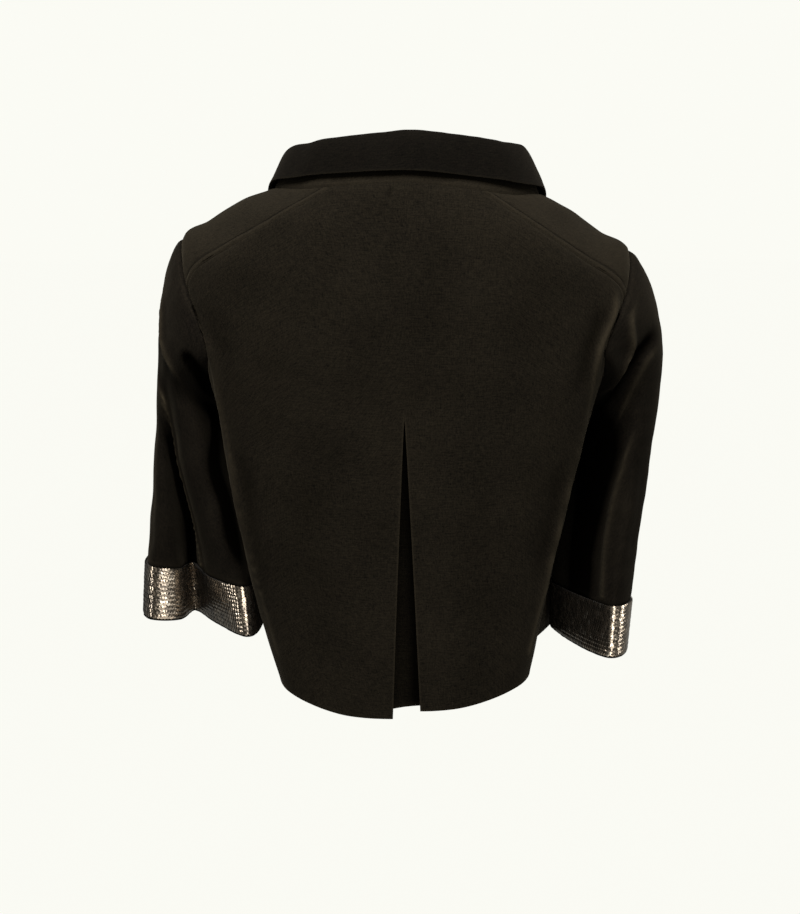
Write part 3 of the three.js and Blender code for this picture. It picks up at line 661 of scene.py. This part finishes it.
# %% Folds of the sleeves, and the two sleeves
SLEEVE_FOLDS = {  # dark: painted shade in the fold's hollow, beyond the shade its height casts
    "left": [
        {"path": [(223, -92), (222, -125), (219, -151), (212, -170), (199, -192)],
         "height": 4.0, "width": 4.5, "painted_highlight": 1.0},
        {"path": [(228, -108), (227, -135), (222, -160)], "height": -2.0, "width": 3.5, "dark": -9},
        {"path": [(201, -156), (192, -170), (182, -186), (173, -206)],
         "height": -4.0, "width": 5.5, "dark": -22},
        {"path": [(184, -190), (179, -222), (174, -262), (165, -300), (156, -335), (147, -366)],
         "height": -3.0, "width": 7, "dark": -20},
        {"path": [(231, -160), (223, -207), (212, -260), (201, -306), (190, -362)],
         "height": 3.0, "width": 4, "painted_highlight": 1.7, "to_cuff": True},
        {"path": [(222, -218), (217, -257), (211, -295), (206, -330), (203, -366)],
         "height": -2.0, "width": 5, "dark": -16, "to_cuff": True},
        {"path": [(236, -270), (238, -320), (240, -360)], "height": -1.0, "width": 7},
    ],
    "right": [
        {"path": [(-213, -108), (-206, -130), (-205, -157), (-199, -176), (-189, -192), (-176, -202)],
         "height": 4.4, "width": 4.5, "painted_highlight": 0.8},
        {"path": [(-236, -136), (-224, -148), (-212, -163), (-196, -190), (-182, -210)],
         "height": -4.5, "width": 6, "dark": -5},
        {"path": [(-238, -148), (-226, -165), (-215, -181), (-201, -215), (-187, -252)],
         "height": 2.4, "width": 6, "painted_highlight": 0.35},
        {"path": [(-184, -200), (-181, -245), (-177, -300), (-171, -345), (-167, -388)],
         "height": -1.5, "width": 16, "dark": -26, "to_cuff": True},
        {"path": [(-214, -225), (-206, -260), (-197, -300), (-190, -340), (-186, -388)],
         "height": 2.4, "width": 5, "painted_highlight": 0.5, "to_cuff": True},
        {"path": [(-226, -250), (-218, -310), (-210, -370)], "height": -1.0, "width": 7},
    ],
}
CUFF_FROM = 5
PAINTED_HIGHLIGHT_WIDTH = 2.1
IN_VIEW = 0.15  # a fold of the sleeve is drawn where the cloth faces us at least so much
cells = np.linspace(0, AROUND, 217)[:-1]


def sleeve(side, seed):
    head = np.concatenate([[0, 0.006, 0.014, 0.024, 0.036, 0.05, 0.07, 0.1], np.linspace(0.14, 1, 22)])
    foot = CUFF_FROM - np.array([0.045, 0.03, 0.018, 0.008, 0])
    places = np.concatenate([head, np.linspace(1, CUFF_FROM - 0.06, 74)[1:], foot])
    points, directions = around(side, places, cells)
    relief = 0.6 * waves(points, 60, seed) + 0.15 * waves(points, 24, seed + 1)
    shade, painted_highlight = 0 * relief, 0 * relief
    for row in SLEEVE_FOLDS[side]:
        spots = nearest(points, directions[..., 1] > IN_VIEW, row["path"])
        runs_out = "to_cuff" not in row
        relief += fold(points, spots, row["height"], row["width"], runs_out)
        shade += fold(points, spots, row.get("dark", 0), row["width"], runs_out)
        painted_highlight += fold(points, spots, row.get("painted_highlight", 0), PAINTED_HIGHLIGHT_WIDTH, runs_out)
    down = lengths(points, 0)[0]
    relief = relief * np.clip(down / 12, 0, 1)
    turn = np.linspace(0, 2 * np.pi, len(cells), endpoint=False)
    high = np.clip(0.3 + np.cos(turn), 0, 1)  # 1 over the shoulder, 0 under the arm
    ease = 0.5 * waves(points, 17, seed + 2) * np.exp(-(((down - 9) / 8) ** 2))
    ease = ease + 0.7 * np.exp(-(((down - 6) / 4) ** 2))
    sunk = 1.5 * np.exp(-(((down - 2.5) / 3.5) ** 2)) * (1 - high)
    shaped = points + directions * (relief + (ease * high - sunk) * np.clip(down / 3, 0, 1))[..., None]
    shaped, press_and_painted_light = seamed(shaped, directions, {"top": "seam", "bottom": "seam"}, seed, pucker=0.15, drop=0.6)
    # Painted light of the folds: painted highlights on their tops, painted shade in their hollows, and a band
    # of painted shade along the armhole seam.
    press_and_painted_light = press_and_painted_light + fold_painted_light(relief + shade) - 0.7 * np.exp(-((down / 2.4) ** 2)) + painted_highlight
    pieces[f"sleeve_{side}"] = cloth(f"sleeve_{side}", shaped, VELVET, press_and_painted_light, closed=True)


for number, side in enumerate(SIGN):
    sleeve(side, 50 + 7 * number)

# %% [markdown]
# ## The collar
# A collar is a stand, which is sewn to the neckline and rises from it, and a fall, which rolls over the
# stand's top and hangs outside it. This one stands well away from the neck. At each place along the
# neckline the stand is a line up and the fall is a curve from the roll down to an edge that hovers over
# the shoulders, so the whole collar is two tables swept along the neckline.

# %% Lines of the collar
COLLAR = {  # for each of the body's columns
    "stand": [42, 41, 40, 34, 30, 24, 15],
    "leanIn": [9, 11, 14, 14, 8, 4, 1],
    "hollow": [4, 4, 3, 1, -2, -2, -2],
    "edgeRing": [-0.3, -0.28, -0.15, 0.1, 0.55, 1.1, 1.45],
    "edgeOff": [5, 6, 9, 7, 6, 6, 6],
    "roll": [9, 9, 7, 3, 10, 16, 16],
}
COLLAR_TILT = 0.03  # the wearer's right stands higher by so much of the width
COLLAR_CLEAR = COLLAR_CLOTH + 1.3
ROLL_RISE, ROLL_OUT = 6, 0.85


def collar_size(what, column):
    values = padded_ends(np.array(COLLAR[what], float)[:, None], 0)[:, 0]
    first, w = weights(column, len(COLUMNS))
    return sum(w[i] * values[first + i] for i in range(4))


def collar_lines(side, column):
    foot = body(side, column, 0.0)
    along_neck = body(side, column - 0.05, 0.0) - body(side, column + 0.05, 0.0)
    out = unit(np.cross(along_neck, [0, 0, SIGN[side]]) * [1, 1, 0])
    stand = collar_size("stand", column) - COLLAR_TILT * foot[:, 0]
    top = foot + out * -collar_size("leanIn", column)[:, None]
    top[:, 2] += stand
    ring = collar_size("edgeRing", column)
    edge = body(side, column, ring) + outward(side, column, ring) * collar_size("edgeOff", column)[:, None]
    sizes = {what: collar_size(what, column)[:, None] for what in ("roll", "hollow")}
    return {"foot": foot, "out": out, "top": top, "edge": edge, **sizes}


def whole_collar():
    columns = np.linspace(0, EDGE, 131)
    left, right = collar_lines("left", columns), collar_lines("right", columns)
    return {key: np.concatenate([left[key][::-1], right[key][1:]]) for key in left}


lines = whole_collar()
print("collar is", lengths(lines["top"][None], 1)[1].round(0), "mm along its roll")

# %% Make the stand and the fall
up = np.array([0, 0, 1.0])
share = fine(22, 0.5)[:, None, None]
tuck = 2.5 * np.exp(-((share / 0.03) ** 2))  # its seam allowance goes down inside the neckline
foot = lines["foot"] + up * 0.1
stand = foot * (1 - share) + lines["top"] * share - lines["out"] * lines["hollow"] * np.sin(np.pi * share)
stand = stand - (up + lines["out"] * 0.4) * tuck
stand = stand[::-1]
directions = facing(stand)
stand = stand + directions * (0.3 * waves(stand, 40, 71))[..., None]
stand, press_and_painted_light = seamed(stand, directions, {}, 71)
# The stand is painted paler all over, a painted highlight where it faces up into the light below the fall.
pieces["collar_stand"] = cloth("collar_stand", stand, VELVET, press_and_painted_light + 0.22)

share = fine(40, 0.6)[:, None, None]
start = lines["top"] + up * COLLAR_CLEAR - lines["out"] * VELVET
crown = lines["top"] + up * (COLLAR_CLEAR + ROLL_RISE) + lines["out"] * lines["roll"] * ROLL_OUT
fall = (1 - share) ** 2 * start + 2 * share * (1 - share) * crown + share**2 * lines["edge"]
directions = facing(fall)
fade = np.sin(np.pi * np.clip(share[..., 0], 0, 1)) * 0.6 + share[..., 0] * 0.6
fall = fall + directions * (0.9 * waves(fall, 62, 72) * fade + 0.2 * waves(fall, 22, 73))[..., None]
fall, press_and_painted_light = seamed(fall, directions, {"bottom": "hem", "first": "hem", "last": "hem"}, 72)
pieces["collar_fall"] = cloth("collar_fall", fall, COLLAR_CLOTH, press_and_painted_light, bevel=0.95, segments=3)

# %% [markdown]
# ## Cuffs and their bindings
# Below the velvet the sleeve goes on as a band that carries the sequins, and its raw edge is wrapped in
# a narrow binding. Both follow the same sections as the sleeve, a little outside it, so the band needs
# no shape of its own. The binding is short and thick, and its bevel is nearly as wide as it is thick,
# which makes it a round roll.

# %% Make the bands and bindings
CUFF_STEP, BINDING_STEP, BINDING_HEIGHT, BINDING_CLOTH = 0.8, 0.6, 3.2, 3.0
cuff_grids = {}
for side in SIGN:
    sections = SLEEVES[side]["sections"]
    tall = sections[CUFF_FROM - 1][0] - sections[-1][0]
    hem = len(sections)
    binding_top = hem - BINDING_HEIGHT / tall
    places = np.linspace(CUFF_FROM, binding_top + 1.2 / tall, 26)  # its end is hidden in the binding
    points, directions = around(side, places, cells)
    shaped = points + directions * CUFF_STEP
    cuff_grids[side] = (shaped, directions)
    pieces[f"cuff_{side}"] = cloth(f"cuff_{side}", shaped, VELVET, 0 * shaped[..., 0], closed=True, bevel=0.4)
    places = np.linspace(binding_top, hem, 5)
    points, directions = around(side, places, cells)
    ripple = 0.18 * waves(points, 9, 81)
    shaped = points + directions * (CUFF_STEP + BINDING_STEP + ripple)[..., None]
    pieces[f"cuff_binding_{side}"] = cloth(
        f"cuff_binding_{side}", shaped, BINDING_CLOTH, 0 * ripple, closed=True, bevel=1.35, segments=4)

# %% [markdown]
# ## Sequins
# A sequin is a small cupped disc with a hole in the middle. They are sewn in rows round the cuff, each
# one lying partly over the next, so every disc is tipped a little. One disc is modelled as by hand, from
# a circle that is filled, inset and lifted, and thousands of copies are joined in one mesh by arrays,
# because thousands of objects would be slow. Each copy keeps a number of its own for its colour.

# %% Model one sequin
SEQUIN, SEQUIN_SIDES = 5.3, 10
SEQUIN_PITCH, SEQUIN_ROWS = 3.3, 12
SHINGLE, TIP, UNEVEN = 12, 3, 0.9  # how far a disc leans along its row, how far down the cuff, in degrees
ASTRAY, OFF_CLOTH = 0.04, 0.8  # millimetres
bpy.ops.object.select_all(action="DESELECT")
bpy.ops.mesh.primitive_circle_add(vertices=SEQUIN_SIDES, radius=SEQUIN / 2, fill_type="NGON")
one = bpy.context.object
bpy.ops.object.mode_set(mode="EDIT")
bpy.ops.mesh.select_all(action="SELECT")
bpy.ops.mesh.inset(thickness=SEQUIN * 0.17, depth=0.24)
bpy.ops.mesh.inset(thickness=SEQUIN * 0.2, depth=0.1)
bpy.ops.mesh.delete(type="ONLY_FACE")
bpy.ops.mesh.select_all(action="SELECT")
bpy.ops.mesh.normals_make_consistent(inside=False)
bpy.ops.object.mode_set(mode="OBJECT")
disc = np.array([v.co for v in one.data.vertices])
disc_faces = [list(p.vertices) for p in one.data.polygons]
if one.data.polygons[0].normal.z < 0:
    disc_faces = [face[::-1] for face in disc_faces]
bpy.data.objects.remove(one)
print("one sequin:", len(disc), "points,", len(disc_faces), "faces")


# %% Many copies of one small thing
def scattered(name, points, faces, places, axes):
    """One mesh with a copy of the points and faces at each place, turned to the three axes given there."""
    every = places[:, None] + sum(points[None, :, k:k + 1] * axes[k][:, None] for k in range(3))
    many = [[corner + len(points) * n for corner in face] for n in range(len(places)) for face in faces]
    mesh = bpy.data.meshes.new(name)
    mesh.from_pydata((every.reshape(-1, 3) / 1000).tolist(), [], many)
    made = bpy.data.objects.new(name, mesh)
    bpy.context.scene.collection.objects.link(made)
    pieces[name] = made
    return made


print(SEQUIN_ROWS, "rows of sequins go round each cuff")


# %% Sew the rows of sequins
def spread(line, directions, pitch, shift):
    """Places along a closed line, evenly spaced, with the direction out of the cloth at each."""
    ring = np.concatenate([line, line[:1]])
    normals = np.concatenate([directions, directions[:1]])
    run = np.concatenate([[0], np.cumsum(np.linalg.norm(np.diff(ring, axis=0), axis=1))])
    count = int(run[-1] / pitch)
    at = (np.arange(count) + shift) * run[-1] / count % run[-1]
    spots = np.stack([np.interp(at, run, ring[:, k]) for k in range(3)], axis=1)
    ways = unit(np.stack([np.interp(at, run, normals[:, k]) for k in range(3)], axis=1))
    return spots, ways


def sewn(side, seed):
    shaped, directions = cuff_grids[side]
    chance = np.random.default_rng(seed)
    spots, ways, runs = [], [], []
    for row in range(SEQUIN_ROWS):
        share = (row + 0.5) / SEQUIN_ROWS
        at = share * (len(shaped) - 1)
        low = int(at)
        line = shaped[low] + (shaped[min(low + 1, len(shaped) - 1)] - shaped[low]) * (at - low)
        found, way = spread(line, directions[low], SEQUIN_PITCH, 0.5 * (row % 2))
        spots.append(found + chance.normal(scale=ASTRAY, size=found.shape))
        ways.append(way)
        runs.append(np.roll(found, -1, axis=0) - np.roll(found, 1, axis=0))
    spots, normal, along_row = np.concatenate(spots), np.concatenate(ways), unit(np.concatenate(runs))
    fallen = unit(np.cross(normal, along_row))
    shingle = np.radians(chance.normal(SHINGLE, UNEVEN, len(spots)))[:, None]
    tip = np.radians(chance.normal(TIP, UNEVEN, len(spots)))[:, None]
    axis_x = unit(along_row * np.cos(shingle) + normal * np.sin(shingle))
    axis_y = unit(fallen * np.cos(tip) + normal * np.sin(tip) * np.sign((fallen[:, 2:3] > 0) - 0.5))
    axis_z = unit(np.cross(axis_x, axis_y))
    axis_z = axis_z * np.sign((axis_z * normal).sum(axis=1, keepdims=True))
    axis_y = np.cross(axis_z, axis_x)
    places = spots + normal * (OFF_CLOTH + chance.uniform(0, 0.12, (len(spots), 1)))
    made = scattered(f"sequins_{side}", disc, disc_faces, places, (axis_x, axis_y, axis_z))
    tint = made.data.attributes.new("tint", "FLOAT", "POINT")
    tint.data.foreach_set("value", np.repeat(chance.uniform(0, 1, len(spots)), len(disc)).astype(np.float32))
    made.data.shade_flat()
    print(made.name, len(spots), "sequins,", len(made.data.polygons), "faces")


for number, side in enumerate(SIGN):
    sewn(side, 11 + number)

# %% [markdown]
# ## Topstitching
# The yoke's turnings are held down by a row of machine stitches a few millimetres from the seam. One
# stitch is a short rounded rod that is sunk half into the velvet, and it is copied along the line.

# %% Model one stitch and sew the rows
STITCH, STITCH_PITCH, THREAD = 2.0, 2.9, 0.42
bpy.ops.object.select_all(action="DESELECT")
bpy.ops.mesh.primitive_cylinder_add(vertices=6, radius=THREAD / 2, depth=STITCH, rotation=(0, math.pi / 2, 0))
one = bpy.context.object
bpy.ops.object.transform_apply(rotation=True)
bpy.ops.object.modifier_add(type="BEVEL")
one.modifiers[-1].width = THREAD * 0.3
one.modifiers[-1].segments = 1
one.modifiers[-1].angle_limit = math.radians(70)
bpy.ops.object.modifier_apply(modifier=one.modifiers[-1].name)
stitch = np.array([v.co for v in one.data.vertices])
stitch_faces = [list(p.vertices) for p in one.data.polygons]
bpy.data.objects.remove(one)


def crossing(gap, row):
    """The point of a row where its gap, which grows or shrinks along the row, is the topstitching's."""
    if gap[0] > gap[-1]:
        gap, row = gap[::-1], row[::-1]
    return [np.interp(TOPSTITCH, gap, row[:, k]) for k in range(3)]


def stitched(side):
    shaped, directions = edge_lines[f"yoke_{side}"]
    run, whole = lengths(shaped, 1)
    spots, forward, ways = [], [], []
    for gap in (run, whole - run):
        line = np.stack([crossing(*row) for row in zip(gap, shaped)])  # slides between cells: no jags
        normals = directions[np.arange(len(shaped)), np.abs(gap - TOPSTITCH).argmin(axis=1)]
        length = np.concatenate([[0], np.cumsum(np.linalg.norm(np.diff(line, axis=0), axis=1))])
        at = np.arange(STITCH_PITCH, length[-1] - 1, STITCH_PITCH)
        spots.append(np.stack([np.interp(at, length, line[:, k]) for k in range(3)], axis=1))
        forward.append(unit(np.gradient(spots[-1], axis=0)))
        ways.append(unit(np.stack([np.interp(at, length, normals[:, k]) for k in range(3)], axis=1)))
    spots, forward, ways = np.concatenate(spots), np.concatenate(forward), np.concatenate(ways)
    axes = forward, np.cross(ways, forward), ways
    made = scattered(f"topstitch_{side}", stitch, stitch_faces, spots, axes)
    print(made.name, len(spots), "stitches")


for side in SIGN:
    stitched(side)

# %% [markdown]
# ## Writing a material as sums
# Shader maths is easier to read as an expression than as a web of nodes. This small class wraps a node's
# output, and each sum on it adds the Math node that it stands for.

# %% A socket that can be added and multiplied
class Value:
    def __init__(self, recipe, socket):
        self.recipe, self.socket = recipe, socket

    def sum(self, operation, *others, clamp=False):
        settings = {"operation": operation, "use_clamp": clamp}
        made = self.recipe.node("ShaderNodeMath", settings, dict(enumerate(others)))
        return Value(self.recipe, made.outputs[0])

    def __add__(self, other):
        return self.sum("ADD", self, other)

    def __sub__(self, other):
        return self.sum("SUBTRACT", self, other)

    def __rsub__(self, other):
        return self.sum("SUBTRACT", other, self)

    def __mul__(self, other):
        return self.sum("MULTIPLY", self, other)

    __radd__, __rmul__ = __add__, __mul__


class Recipe:
    """A material with one Principled shader, and one way to add any other node."""

    def __init__(self, name):
        self.material = bpy.data.materials.new(name)
        self.material.use_nodes = True
        self.tree = self.material.node_tree
        self.shader = self.tree.nodes["Principled BSDF"]

    def node(self, kind, settings=None, inputs=None):
        made = self.tree.nodes.new(kind)
        for name, value in (settings or {}).items():
            if name == "stops":
                ramp = made.color_ramp.elements
                for count, (place, color) in enumerate(value):
                    element = ramp[count] if count < 2 else ramp.new(place)
                    element.position, element.color = place, (*color, 1)
            else:
                setattr(made, name, value)
        for name, value in (inputs or {}).items():
            self.feed(made.inputs[name], value)
        return made

    def feed(self, socket, value):
        if isinstance(value, Value):
            value = value.socket
        if isinstance(value, bpy.types.NodeSocket):
            self.tree.links.new(value, socket)
        else:
            socket.default_value = value

    def value(self, node, output=0):
        return Value(self, node.outputs[output])

    def noise(self, place, scale, detail=2.0, rough=0.5):
        inputs = {"Vector": place, "Scale": scale, "Detail": detail, "Roughness": rough}
        return self.value(self.node("ShaderNodeTexNoise", {}, inputs))

    def mix(self, share, first, second, blend="MIX"):
        settings = {"data_type": "RGBA", "blend_type": blend}
        return self.node("ShaderNodeMix", settings, {"Factor": share, 6: first, 7: second}).outputs[2]

    def bump(self, strength, distance, height):
        made = self.node("ShaderNodeBump", {}, {"Strength": strength, "Distance": distance, "Height": height})
        self.feed(self.shader.inputs["Normal"], made.outputs[0])


print("material tools ready")

# %% [markdown]
# ## Velvet
# Velvet is a ground cloth with an upright pile. Seen along the pile it is almost black, and at a low
# angle the sides of the hairs shine, which is what a shader's sheen does. Two noises make the soft
# clouds and the grain that handling leaves in the pile, and two long thin ones follow the cloth's own map
# as faint lines of the weave. Where the number that each point carries is above nothing the colour turns
# pale, for rubbed pile and painted highlights. Where it is below nothing a second shader takes over,
# nearly black and with no sheen: painted shade. The sleeves and the collar get darker copies of this
# velvet, which paint shade on them.

# %% Make the velvets
PAINTED_SHADE_TONE, PAINTED_SHADE_SHARE = 0.08, 0.92  # how dark the painted shade is, and how much of it shows at the lowest mark, -1


def velvet(name, color, rubbed_and_highlight_color, sheen, sheen_tint):
    recipe = Recipe(name)
    place = recipe.node("ShaderNodeTexCoord").outputs["Object"]
    flat = recipe.node("ShaderNodeUVMap", {"uv_map": "cloth"}).outputs["UV"]
    lines = recipe.node("ShaderNodeMapping", {}, {"Vector": flat, "Scale": (900, 130, 1)}).outputs[0]
    rows = recipe.node("ShaderNodeMapping", {}, {"Vector": flat, "Scale": (110, 800, 1)}).outputs[0]
    clouds = recipe.noise(place, 12, 3, 0.55)
    grain = recipe.noise(place, 700, 3, 0.6)
    hairs = recipe.noise(place, 1500, 2, 0.6)
    warp, weft = recipe.noise(lines, 1, 2), recipe.noise(rows, 1, 2)
    mark = recipe.value(recipe.node("ShaderNodeAttribute", {"attribute_name": "press_and_painted_light"}), "Fac")
    # Below nothing the mark asks for painted shade, above nothing for rubbed pile and a painted highlight.
    deep = mark.sum("MINIMUM", mark, 0)
    rub_and_highlight = mark.sum("MAXIMUM", mark, 0)
    weave = (clouds - 0.5) * 0.6 + (grain - 0.5) * 2.2 + (warp - 0.5) * 1.3 + (weft - 0.5) * 1.5 + 1
    grey = recipe.node("ShaderNodeCombineColor", {}, {"Red": weave, "Green": weave, "Blue": weave}).outputs[0]
    base = recipe.mix(1.0, (*color, 1), grey, "MULTIPLY")
    rubbed_and_highlit = recipe.mix(rub_and_highlight * (0.35 + grain * 0.5), base, (*rubbed_and_highlight_color, 1))
    recipe.feed(recipe.shader.inputs["Base Color"], rubbed_and_highlit)
    recipe.feed(recipe.shader.inputs["Roughness"], 0.86 + grain * 0.14)
    recipe.bump(0.55, 0.0004, hairs * 0.5 + grain * 0.9 + warp * 0.3 + weft * 0.25)
    recipe.shader.inputs["Specular IOR Level"].default_value = 0.05
    recipe.shader.inputs["Sheen Weight"].default_value = sheen
    recipe.shader.inputs["Sheen Roughness"].default_value = 0.42
    recipe.shader.inputs["Sheen Tint"].default_value = (*sheen_tint, 1)
    # The second shader is painted shade: nearly black, with no sheen.
    painted_shade_color = (*[PAINTED_SHADE_TONE * c for c in color], 1)
    hollow = recipe.node("ShaderNodeBsdfDiffuse", {}, {"Color": painted_shade_color, "Roughness": 1.0}).outputs[0]
    shaders = {0: deep * -PAINTED_SHADE_SHARE, 1: recipe.shader.outputs[0], 2: hollow}
    mixed = recipe.node("ShaderNodeMixShader", {}, shaders)
    recipe.feed(recipe.tree.nodes["Material Output"].inputs["Surface"], mixed.outputs[0])
    return recipe.material


GOLD = (0.62, 0.52, 0.36)
body_velvet = velvet("velvet", (0.0074, 0.0058, 0.0036), (0.034, 0.027, 0.017), 0.07, GOLD)
# Darker copies of the body velvet paint shade on the sleeves and the collar; the sleeves' paler colour is
# their painted highlight.
sleeve_velvet_painted_shade = velvet("velvet_sleeve_painted_shade", (0.0054, 0.0042, 0.0028), (0.055, 0.044, 0.028), 0.045, GOLD)
collar_velvet_painted_shade = velvet("velvet_collar_painted_shade", (0.0034, 0.0027, 0.0018), (0.026, 0.021, 0.014), 0.036,
                       (0.62, 0.52, 0.38))
binding_velvet = velvet("binding", (0.004, 0.0036, 0.003), (0.012, 0.010, 0.008), 0.04, (0.5, 0.45, 0.4))
print("velvets:", body_velvet.name, sleeve_velvet_painted_shade.name, collar_velvet_painted_shade.name, binding_velvet.name)

# %% [markdown]
# ## Sequins and thread
# A sequin is thin plastic with a metal film, so it is a mirror with a colour. Each disc reads its own
# number, so most are bronze and a few are paler. Fine scratches break up the mirror. Under the sequins
# the band is a dull dark cloth, and the thread of the topstitching is as dark as the velvet.

# %% Make the sequin film, the band under it and the thread
film = Recipe("sequin_film")
tint = film.value(film.node("ShaderNodeAttribute", {"attribute_name": "tint"}), "Fac")
shades = film.node("ShaderNodeValToRGB", {"stops": [
    (0.0, (0.12, 0.10, 0.08)), (1.0, (0.36, 0.32, 0.26)), (0.35, (0.16, 0.135, 0.105)),
    (0.62, (0.20, 0.165, 0.125)), (0.86, (0.26, 0.21, 0.16))]}, {"Fac": tint})
place = film.node("ShaderNodeTexCoord").outputs["Object"]
scratches = film.noise(place, 900, 2, 0.6)
film.feed(film.shader.inputs["Base Color"], shades.outputs[0])
film.feed(film.shader.inputs["Roughness"], 0.08 + scratches * 0.1)
film.shader.inputs["Metallic"].default_value = 0.92
film.shader.inputs["Specular IOR Level"].default_value = 0.6

ground = Recipe("cuff_ground")
place = ground.node("ShaderNodeTexCoord").outputs["Object"]
threads = ground.noise(place, 1100, 2)
dark, pale = (0.006, 0.005, 0.004, 1), (0.02, 0.016, 0.012, 1)
ground.feed(ground.shader.inputs["Base Color"], ground.mix(threads, dark, pale))
ground.feed(ground.shader.inputs["Roughness"], 0.7 + threads * 0.2)
ground.bump(0.4, 0.0003, threads)

thread = Recipe("thread")
place = thread.node("ShaderNodeTexCoord").outputs["Object"]
twist = thread.noise(place, 2600, 2)
dark, pale = (0.004, 0.0035, 0.0025, 1), (0.014, 0.011, 0.008, 1)
thread.feed(thread.shader.inputs["Base Color"], thread.mix(twist, dark, pale))
thread.feed(thread.shader.inputs["Roughness"], 0.6 + twist * 0.2)
thread.shader.inputs["Specular IOR Level"].default_value = 0.1

# %% Give each piece its finish
FINISHES = {"collar_fall": collar_velvet_painted_shade, "sleeve": sleeve_velvet_painted_shade, "cuff_binding": binding_velvet,
            "cuff": ground.material, "sequins": film.material, "topstitch": thread.material}
for name, piece in pieces.items():
    piece.data.materials.clear()
    piece.data.materials.append(next((f for key, f in FINISHES.items() if name.startswith(key)), body_velvet))
print(len(pieces), "pieces have a finish")

# %% [markdown]
# ## Fitting the pieces to the frame
# Every piece rides on the jacket's one body and stands for the frame's own solid, which is hidden.

# %% Attach each piece to the body and hide the frame's solid for it
for name, piece in pieces.items():
    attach(piece, "root")
    kind = name.rpartition("_")[0]
    if kind == "sequins":
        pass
    elif kind == "topstitch":
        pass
    else:
        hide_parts(name)
for name, piece in pieces.items():
    kind, _, side = name.rpartition("_")

# %% [markdown]
# ## Studio
# A dark velvet needs a pale room, but a room as bright as it looks would wash the folds out. So the world
# has two strengths: the bright one is for what the camera sees of it, and a weak one lights the jacket.
# One wide lamp above models the shoulders and the folds. The sequins need lamps of their own to mirror: a
# tall one behind the camera, a wide low one, and a strip at each side, which draw bright bands where the
# cuff turns. Light linking keeps these off the cloth, whose sheen they would turn grey. The floor glows, so
# that it looks as pale as the room. The camera stands behind the jacket, a little above it, and looks down
# by seven degrees.

# %% A floor and a room
LAMP_COLOR, PAPER_WHITE = (1, 0.985, 0.96), (1.0, 1.0, 0.94, 1)


def light(name, place, target, size, power):
    lamp = bpy.data.lights.new(name, "AREA")
    lamp.shape = "RECTANGLE"
    lamp.size, lamp.size_y, lamp.energy, lamp.color = *size, power, LAMP_COLOR
    made = bpy.data.objects.new(name, lamp)
    bpy.context.scene.collection.objects.link(made)
    made.location = place
    way = np.array(target, float) - np.array(place, float)
    tilt = math.acos(-way[2] / np.linalg.norm(way))
    made.rotation_euler = (tilt, 0, math.atan2(way[1], way[0]) - math.pi / 2)
    return made


FLOOR_GLOW, SEEN_LIGHT, ROOM_LIGHT = 0.945, 0.965, 0.3
bpy.ops.object.select_all(action="DESELECT")
bpy.ops.mesh.primitive_plane_add(size=400, location=(0, 0, -1.35))
floor = bpy.context.object
floor.name = "floor"
paper = Recipe("paper")
paper.shader.inputs["Base Color"].default_value = (0.05, 0.05, 0.05, 1)
paper.shader.inputs["Roughness"].default_value = 1
paper.shader.inputs["Specular IOR Level"].default_value = 0
paper.shader.inputs["Emission Color"].default_value = PAPER_WHITE
paper.shader.inputs["Emission Strength"].default_value = FLOOR_GLOW
floor.data.materials.append(paper.material)
floor.visible_diffuse = floor.visible_glossy = False  # it is there for the camera and lights nothing

world = bpy.data.worlds.new("room")
world.use_nodes = True
tree = world.node_tree
seen, room = tree.nodes["Background"], tree.nodes.new("ShaderNodeBackground")
for part, strength in ((seen, SEEN_LIGHT), (room, ROOM_LIGHT)):
    part.inputs["Color"].default_value = PAPER_WHITE
    part.inputs["Strength"].default_value = strength
to_camera, either = tree.nodes.new("ShaderNodeLightPath"), tree.nodes.new("ShaderNodeMixShader")
tree.links.new(to_camera.outputs["Is Camera Ray"], either.inputs[0])
tree.links.new(room.outputs[0], either.inputs[1])
tree.links.new(seen.outputs[0], either.inputs[2])
tree.links.new(either.outputs[0], tree.nodes["World Output"].inputs["Surface"])
bpy.context.scene.world = world
print("room light", ROOM_LIGHT, "and seen as", SEEN_LIGHT)

# %% Lamps and camera
shining, matt = bpy.data.collections.new("shining"), bpy.data.collections.new("matt")
for name, piece in pieces.items():
    (shining if name.startswith("sequins") else matt).objects.link(piece)
for name, place, target, size, power, lit in (
        ("above", (0.1, 1.25, 1.6), (0, 0.05, -0.2), (1.3, 1.3), 90, matt),
        ("behind the camera", (0.25, 2.2, -0.1), (0, 0, -0.3), (1.1, 2.0), 62, shining),
        ("below the camera", (0, 1.1, -1.2), (0, 0, -0.4), (2.6, 0.8), 13, shining),
        ("left strip", (2.1, -0.1, -0.1), (0, 0, -0.3), (0.5, 2.0), 30, shining),
        ("right strip", (-2.1, 0.1, -0.1), (0, 0, -0.3), (0.5, 2.0), 30, shining)):
    light(name, place, target, size, power).light_linking.receiver_collection = lit

CAMERA, LOOKS_DOWN = (0.0038, 1.588, -0.067), 7
SENSOR, RENDER_TALL, FOCAL_PIXELS = 36, 914, 1684  # a focal length in pixels, of a render so tall
bpy.ops.object.camera_add(location=CAMERA, rotation=(math.radians(90 - LOOKS_DOWN), 0, math.pi))
camera = bpy.context.object
camera.data.lens = FOCAL_PIXELS * SENSOR / RENDER_TALL
bpy.context.scene.camera = camera
bpy.context.scene.view_settings.view_transform = "Standard"
print("camera", [round(v, 3) for v in camera.location])
